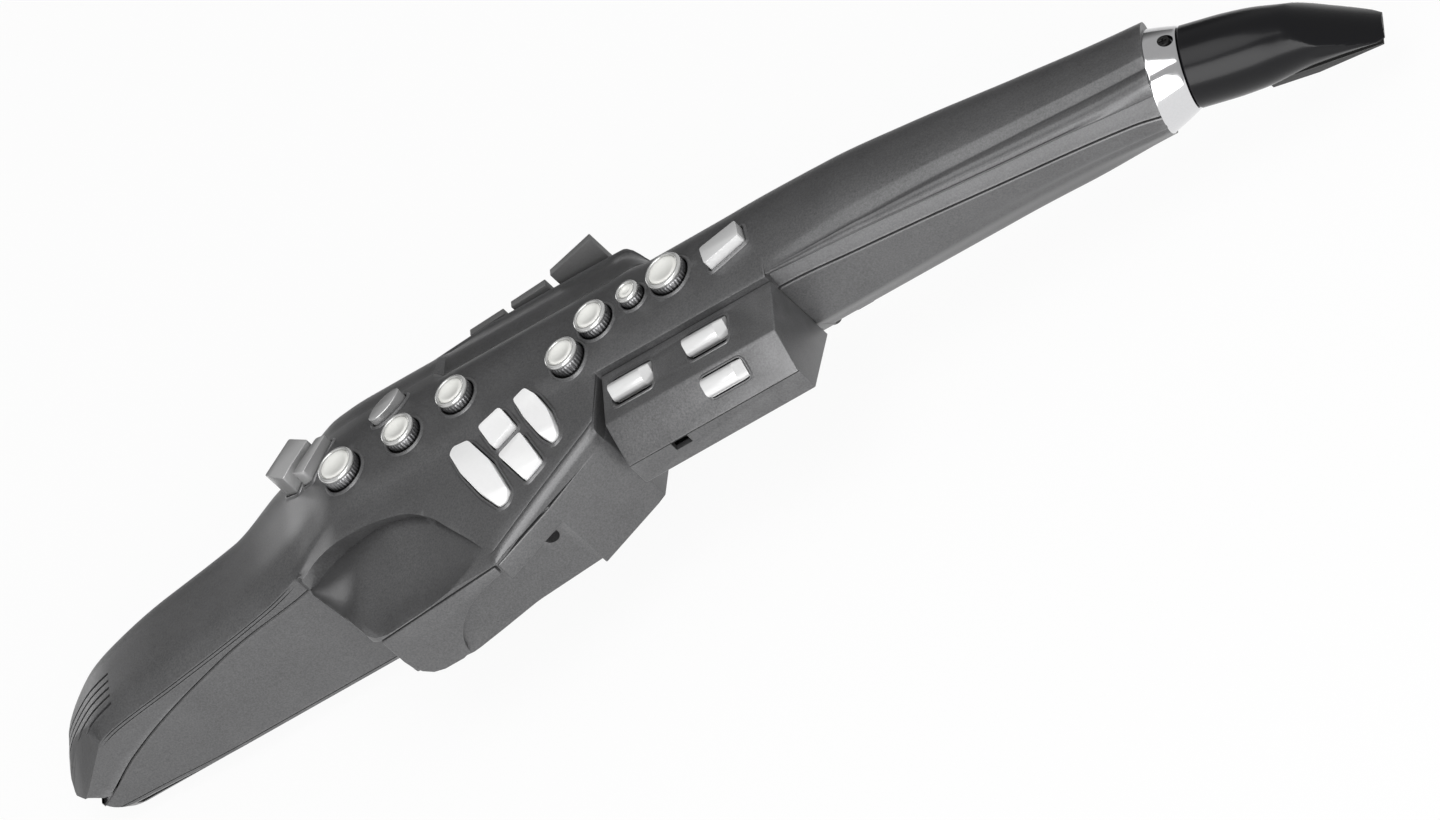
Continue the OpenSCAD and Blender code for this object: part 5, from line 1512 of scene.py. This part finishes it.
@dataclass
class Studio:
    """The camera, the lamps and the pale floor."""

    right: Point3 = (0.805, -0.0614, -0.593)
    up: Point3 = (0.4555, 0.7023, 0.543)
    scale: float = 2.85
    key_pixel: Point2 = (661.5, 269.1)
    image: Point2 = (1440.0, 820.0)
    distance: float = 12.0
    floor_size: float = 30.0
    sensor: float = 36.0
    clip: Point2 = (0.1, 100.0)
    floor_grey: float = 0.85
    floor_roughness: float = 0.9
    floor_white: float = 0.93
    far_floor: float = 0.1
    far_fade: Point2 = (0.03, 0.3)
    room_light: float = 0.46
    flag_light: float = 0.04
    flags: tuple[tuple[Point3, Point2], ...] = (
        ((-0.5, 0.85, 0.15), (0.76, 0.96)), ((-0.97, 0.24, 0.02), (0.8, 0.92)))
    lamps: tuple[tuple[str, Point3, float, float, float], ...] = (
        ("lamp_low_front", (0.15, -1.0, 0.35), 1.6, 1.3, 22),
        ("lamp_far_left", (-0.8, 0.62, 0.1), 1.7, 0.5, 2),
        ("lamp_above", (0.2, -0.3, 1.0), 1.8, 1.2, 10))

    def camera(self) -> None:
        """Place the camera at the photograph's angle, far off with a long lens."""
        right = Vector(self.right).normalized()
        up = Vector(self.up)
        up = (up - right * up.dot(right)).normalized()
        back = right.cross(up)
        across, down = (side / 2 - pixel for side, pixel in zip(self.image, self.key_pixel))
        middle = right * across - up * down
        target = KEY_ROW + middle / self.scale * MM
        data = bpy.data.cameras.new("photo_camera")
        data.sensor_width = self.sensor
        data.lens = data.sensor_width * self.distance / (self.image[0] / self.scale * MM)
        data.clip_start, data.clip_end = self.clip
        camera = bpy.data.objects.new("photo_camera", data)
        pose = Matrix((right, up, back)).transposed().to_4x4()
        pose.translation = target + back * self.distance
        camera.matrix_world = pose
        bpy.context.scene.collection.objects.link(camera)
        bpy.context.scene.camera = camera

    def lamp(self, name: str, direction: Point3, distance: float, size: float, power: float) -> None:
        """Hang a square soft lamp that shines on the instrument.

        Args:
            name: Name of the lamp.
            direction: Where it hangs, seen from the instrument.
            distance: How far away it hangs, in metres.
            size: Side of the lamp, in metres.
            power: Its power in watts.
        """
        data = bpy.data.lights.new(name, "AREA")
        data.shape = "SQUARE"
        data.size = size
        data.energy = power
        lamp = bpy.data.objects.new(name, data)
        towards = Vector(direction).normalized()
        turn = towards.to_track_quat("Z", "Y").to_matrix().to_4x4()
        lamp.matrix_world = Matrix.Translation(KEY_ROW + towards * distance) @ turn
        bpy.context.scene.collection.objects.link(lamp)

    def white(self, tree: Tree, shader: Socket) -> Socket:
        """Mix the floor's shader with plain white for the rays that see it as the background.

        For mirrored rays the white fades over the floor's far side.

        Args:
            tree: The floor's node tree.
            shader: The output of its shader.

        Returns:
            The output of the mix.
        """
        path = add(tree, "ShaderNodeLightPath").outputs
        spot = add(tree, "ShaderNodeNewGeometry").outputs["Position"]
        across = add(tree, "ShaderNodeSeparateXYZ", {0: spot}).outputs["Y"]
        fade = ramp(tree, across, self.far_fade, (1.0, self.far_floor))
        mirrored = math_node(tree, "MULTIPLY", path["Is Glossy Ray"], fade)
        seen = math_node(tree, "MAXIMUM", path["Is Camera Ray"], mirrored)
        seen = math_node(tree, "MAXIMUM", seen, path["Is Transmission Ray"])
        seen = math_node(tree, "MULTIPLY", seen, self.floor_white)
        glow = add(tree, "ShaderNodeEmission", {"Color": (1, 1, 1, 1)}).outputs[0]
        return add(tree, "ShaderNodeMixShader", {0: seen, 1: shader, 2: glow}).outputs[0]

    def floor(self) -> None:
        """Lay the floor under the instrument, white to the eye but with its shadow."""
        half = self.floor_size / 2
        corners = [Vector((a * half, b * half, 0)) for a, b in ((-1, -1), (1, -1), (1, 1), (-1, 1))]
        mesh = bpy.data.meshes.new("pale_floor")
        mesh.from_pydata([tuple(c) for c in corners], [], [(0, 1, 2, 3)])
        floor = bpy.data.objects.new("pale_floor", mesh)
        bpy.context.scene.collection.objects.link(floor)
        material = bpy.data.materials.new("pale_floor_paper")
        material.use_nodes = True
        tree = material.node_tree
        shader = tree.nodes["Principled BSDF"]
        shader.inputs["Base Color"].default_value = (*[self.floor_grey] * 3, 1)
        shader.inputs["Roughness"].default_value = self.floor_roughness
        out = tree.nodes["Material Output"]
        tree.links.new(self.white(tree, shader.outputs[0]), out.inputs["Surface"])
        mesh.materials.append(material)

    def world(self) -> None:
        """Light the room softly, with dark flags and a white background.

        Each flag lies round its direction and fades between two cosines of the angle from it.
        """
        world = bpy.data.worlds.new("soft_room")
        world.use_nodes = True
        bpy.context.scene.world = world
        tree = world.node_tree
        background = tree.nodes["Background"]
        background.inputs["Color"].default_value = (1, 1, 1, 1)
        coords = add(tree, "ShaderNodeTexCoord").outputs["Generated"]
        lights = []
        for side, edge in self.flags:
            facing = add(tree, "ShaderNodeVectorMath", {0: coords, 1: Vector(side).normalized()},
                         operation="DOT_PRODUCT").outputs["Value"]
            lights.append(ramp(tree, facing, edge, (self.room_light, self.flag_light),
                               interpolation_type="SMOOTHSTEP"))
        path = add(tree, "ShaderNodeLightPath").outputs
        seen = math_node(tree, "MAXIMUM", math_node(tree, "MINIMUM", *lights), path["Is Camera Ray"])
        tree.links.new(seen, background.inputs["Strength"])

    def build(self) -> None:
        """Set up the whole studio."""
        self.camera()
        self.floor()
        self.world()
        for lamp in self.lamps:
            self.lamp(*lamp)
        bpy.context.scene.view_settings.view_transform = "Standard"


SLOT_FINISH = {
    "graphite_shell": "graphite", "ring_chrome": "chrome", "screw_steel": "steel_dark",
    "mouthpiece_black": "gloss_black", "reed_rubber": "reed", "tube_rubber": "tube",
    "frame_plastic": "frame", "circuit_board": "board", "socket_black": "socket", "port_steel": "port",
    "speaker_steel": "speaker", "cell_metal": "cell", "window_gloss": "window", "control_black": "control",
    "eye_steel": "eye", "pearl_white": "pearl", "table_white": "table", "side_grey": "side",
    "key_silver": "silver"}


def dress_nodes(finish: Materials) -> None:
    """Give every CAD node the finish of its material slot."""
    for part in frame["record"]["subparts"]:
        node = frame["nodes"][part["node"]]
        if not node.data.materials:
            node.data.materials.append(None)
        for i in range(len(node.data.materials)):
            node.data.materials[i] = finish[SLOT_FINISH[part["material_slot"]]]


def build_shells(casing: Casing, finish: Materials) -> None:
    """Build the two shells and the battery cover."""
    front = casing.block("front_shell_skin", casing.start, casing.front_section)
    carver = FrontCarving(casing)
    carver.build(front)
    dress(shade(front), finish["graphite"], "graphite_shell", "front_shell")
    rear = casing.block("rear_shell_skin", casing.back_start, casing.back_section)
    carve(rear, [room("cover_gap", (-320, -40, -95), (casing.cover_end, 40, casing.cover_line))])
    BackCarving(casing).build(rear, carver.inside())
    dress(shade(rear), finish["graphite"], "graphite_shell", "rear_shell")
    cover = casing.block("battery_cover_skin", casing.back_start, casing.back_section)
    BatteryCover(casing).build(cover, finish["graphite"])


def main() -> None:
    """Build every piece in order."""
    logging.basicConfig(level=logging.INFO, format="%(message)s")
    groups = {"speckle": speckle_group(), "wear_and_highlight": wear_and_highlight_group()}
    finish = {key: value.build(groups) for key, value in FINISHES.items()}
    dress_nodes(finish)
    Studio().build()
    build_shells(Casing(), finish)
    RoundKeys().build(finish)
    KeyBars().build(finish)
    PalmHousing().build(finish)
    HandGuard().build(finish["graphite"])
    MouthEnd().build(finish)
    for piece in SMALL_PIECES:
        piece.build(finish)


if __name__ == "__main__":
    main()
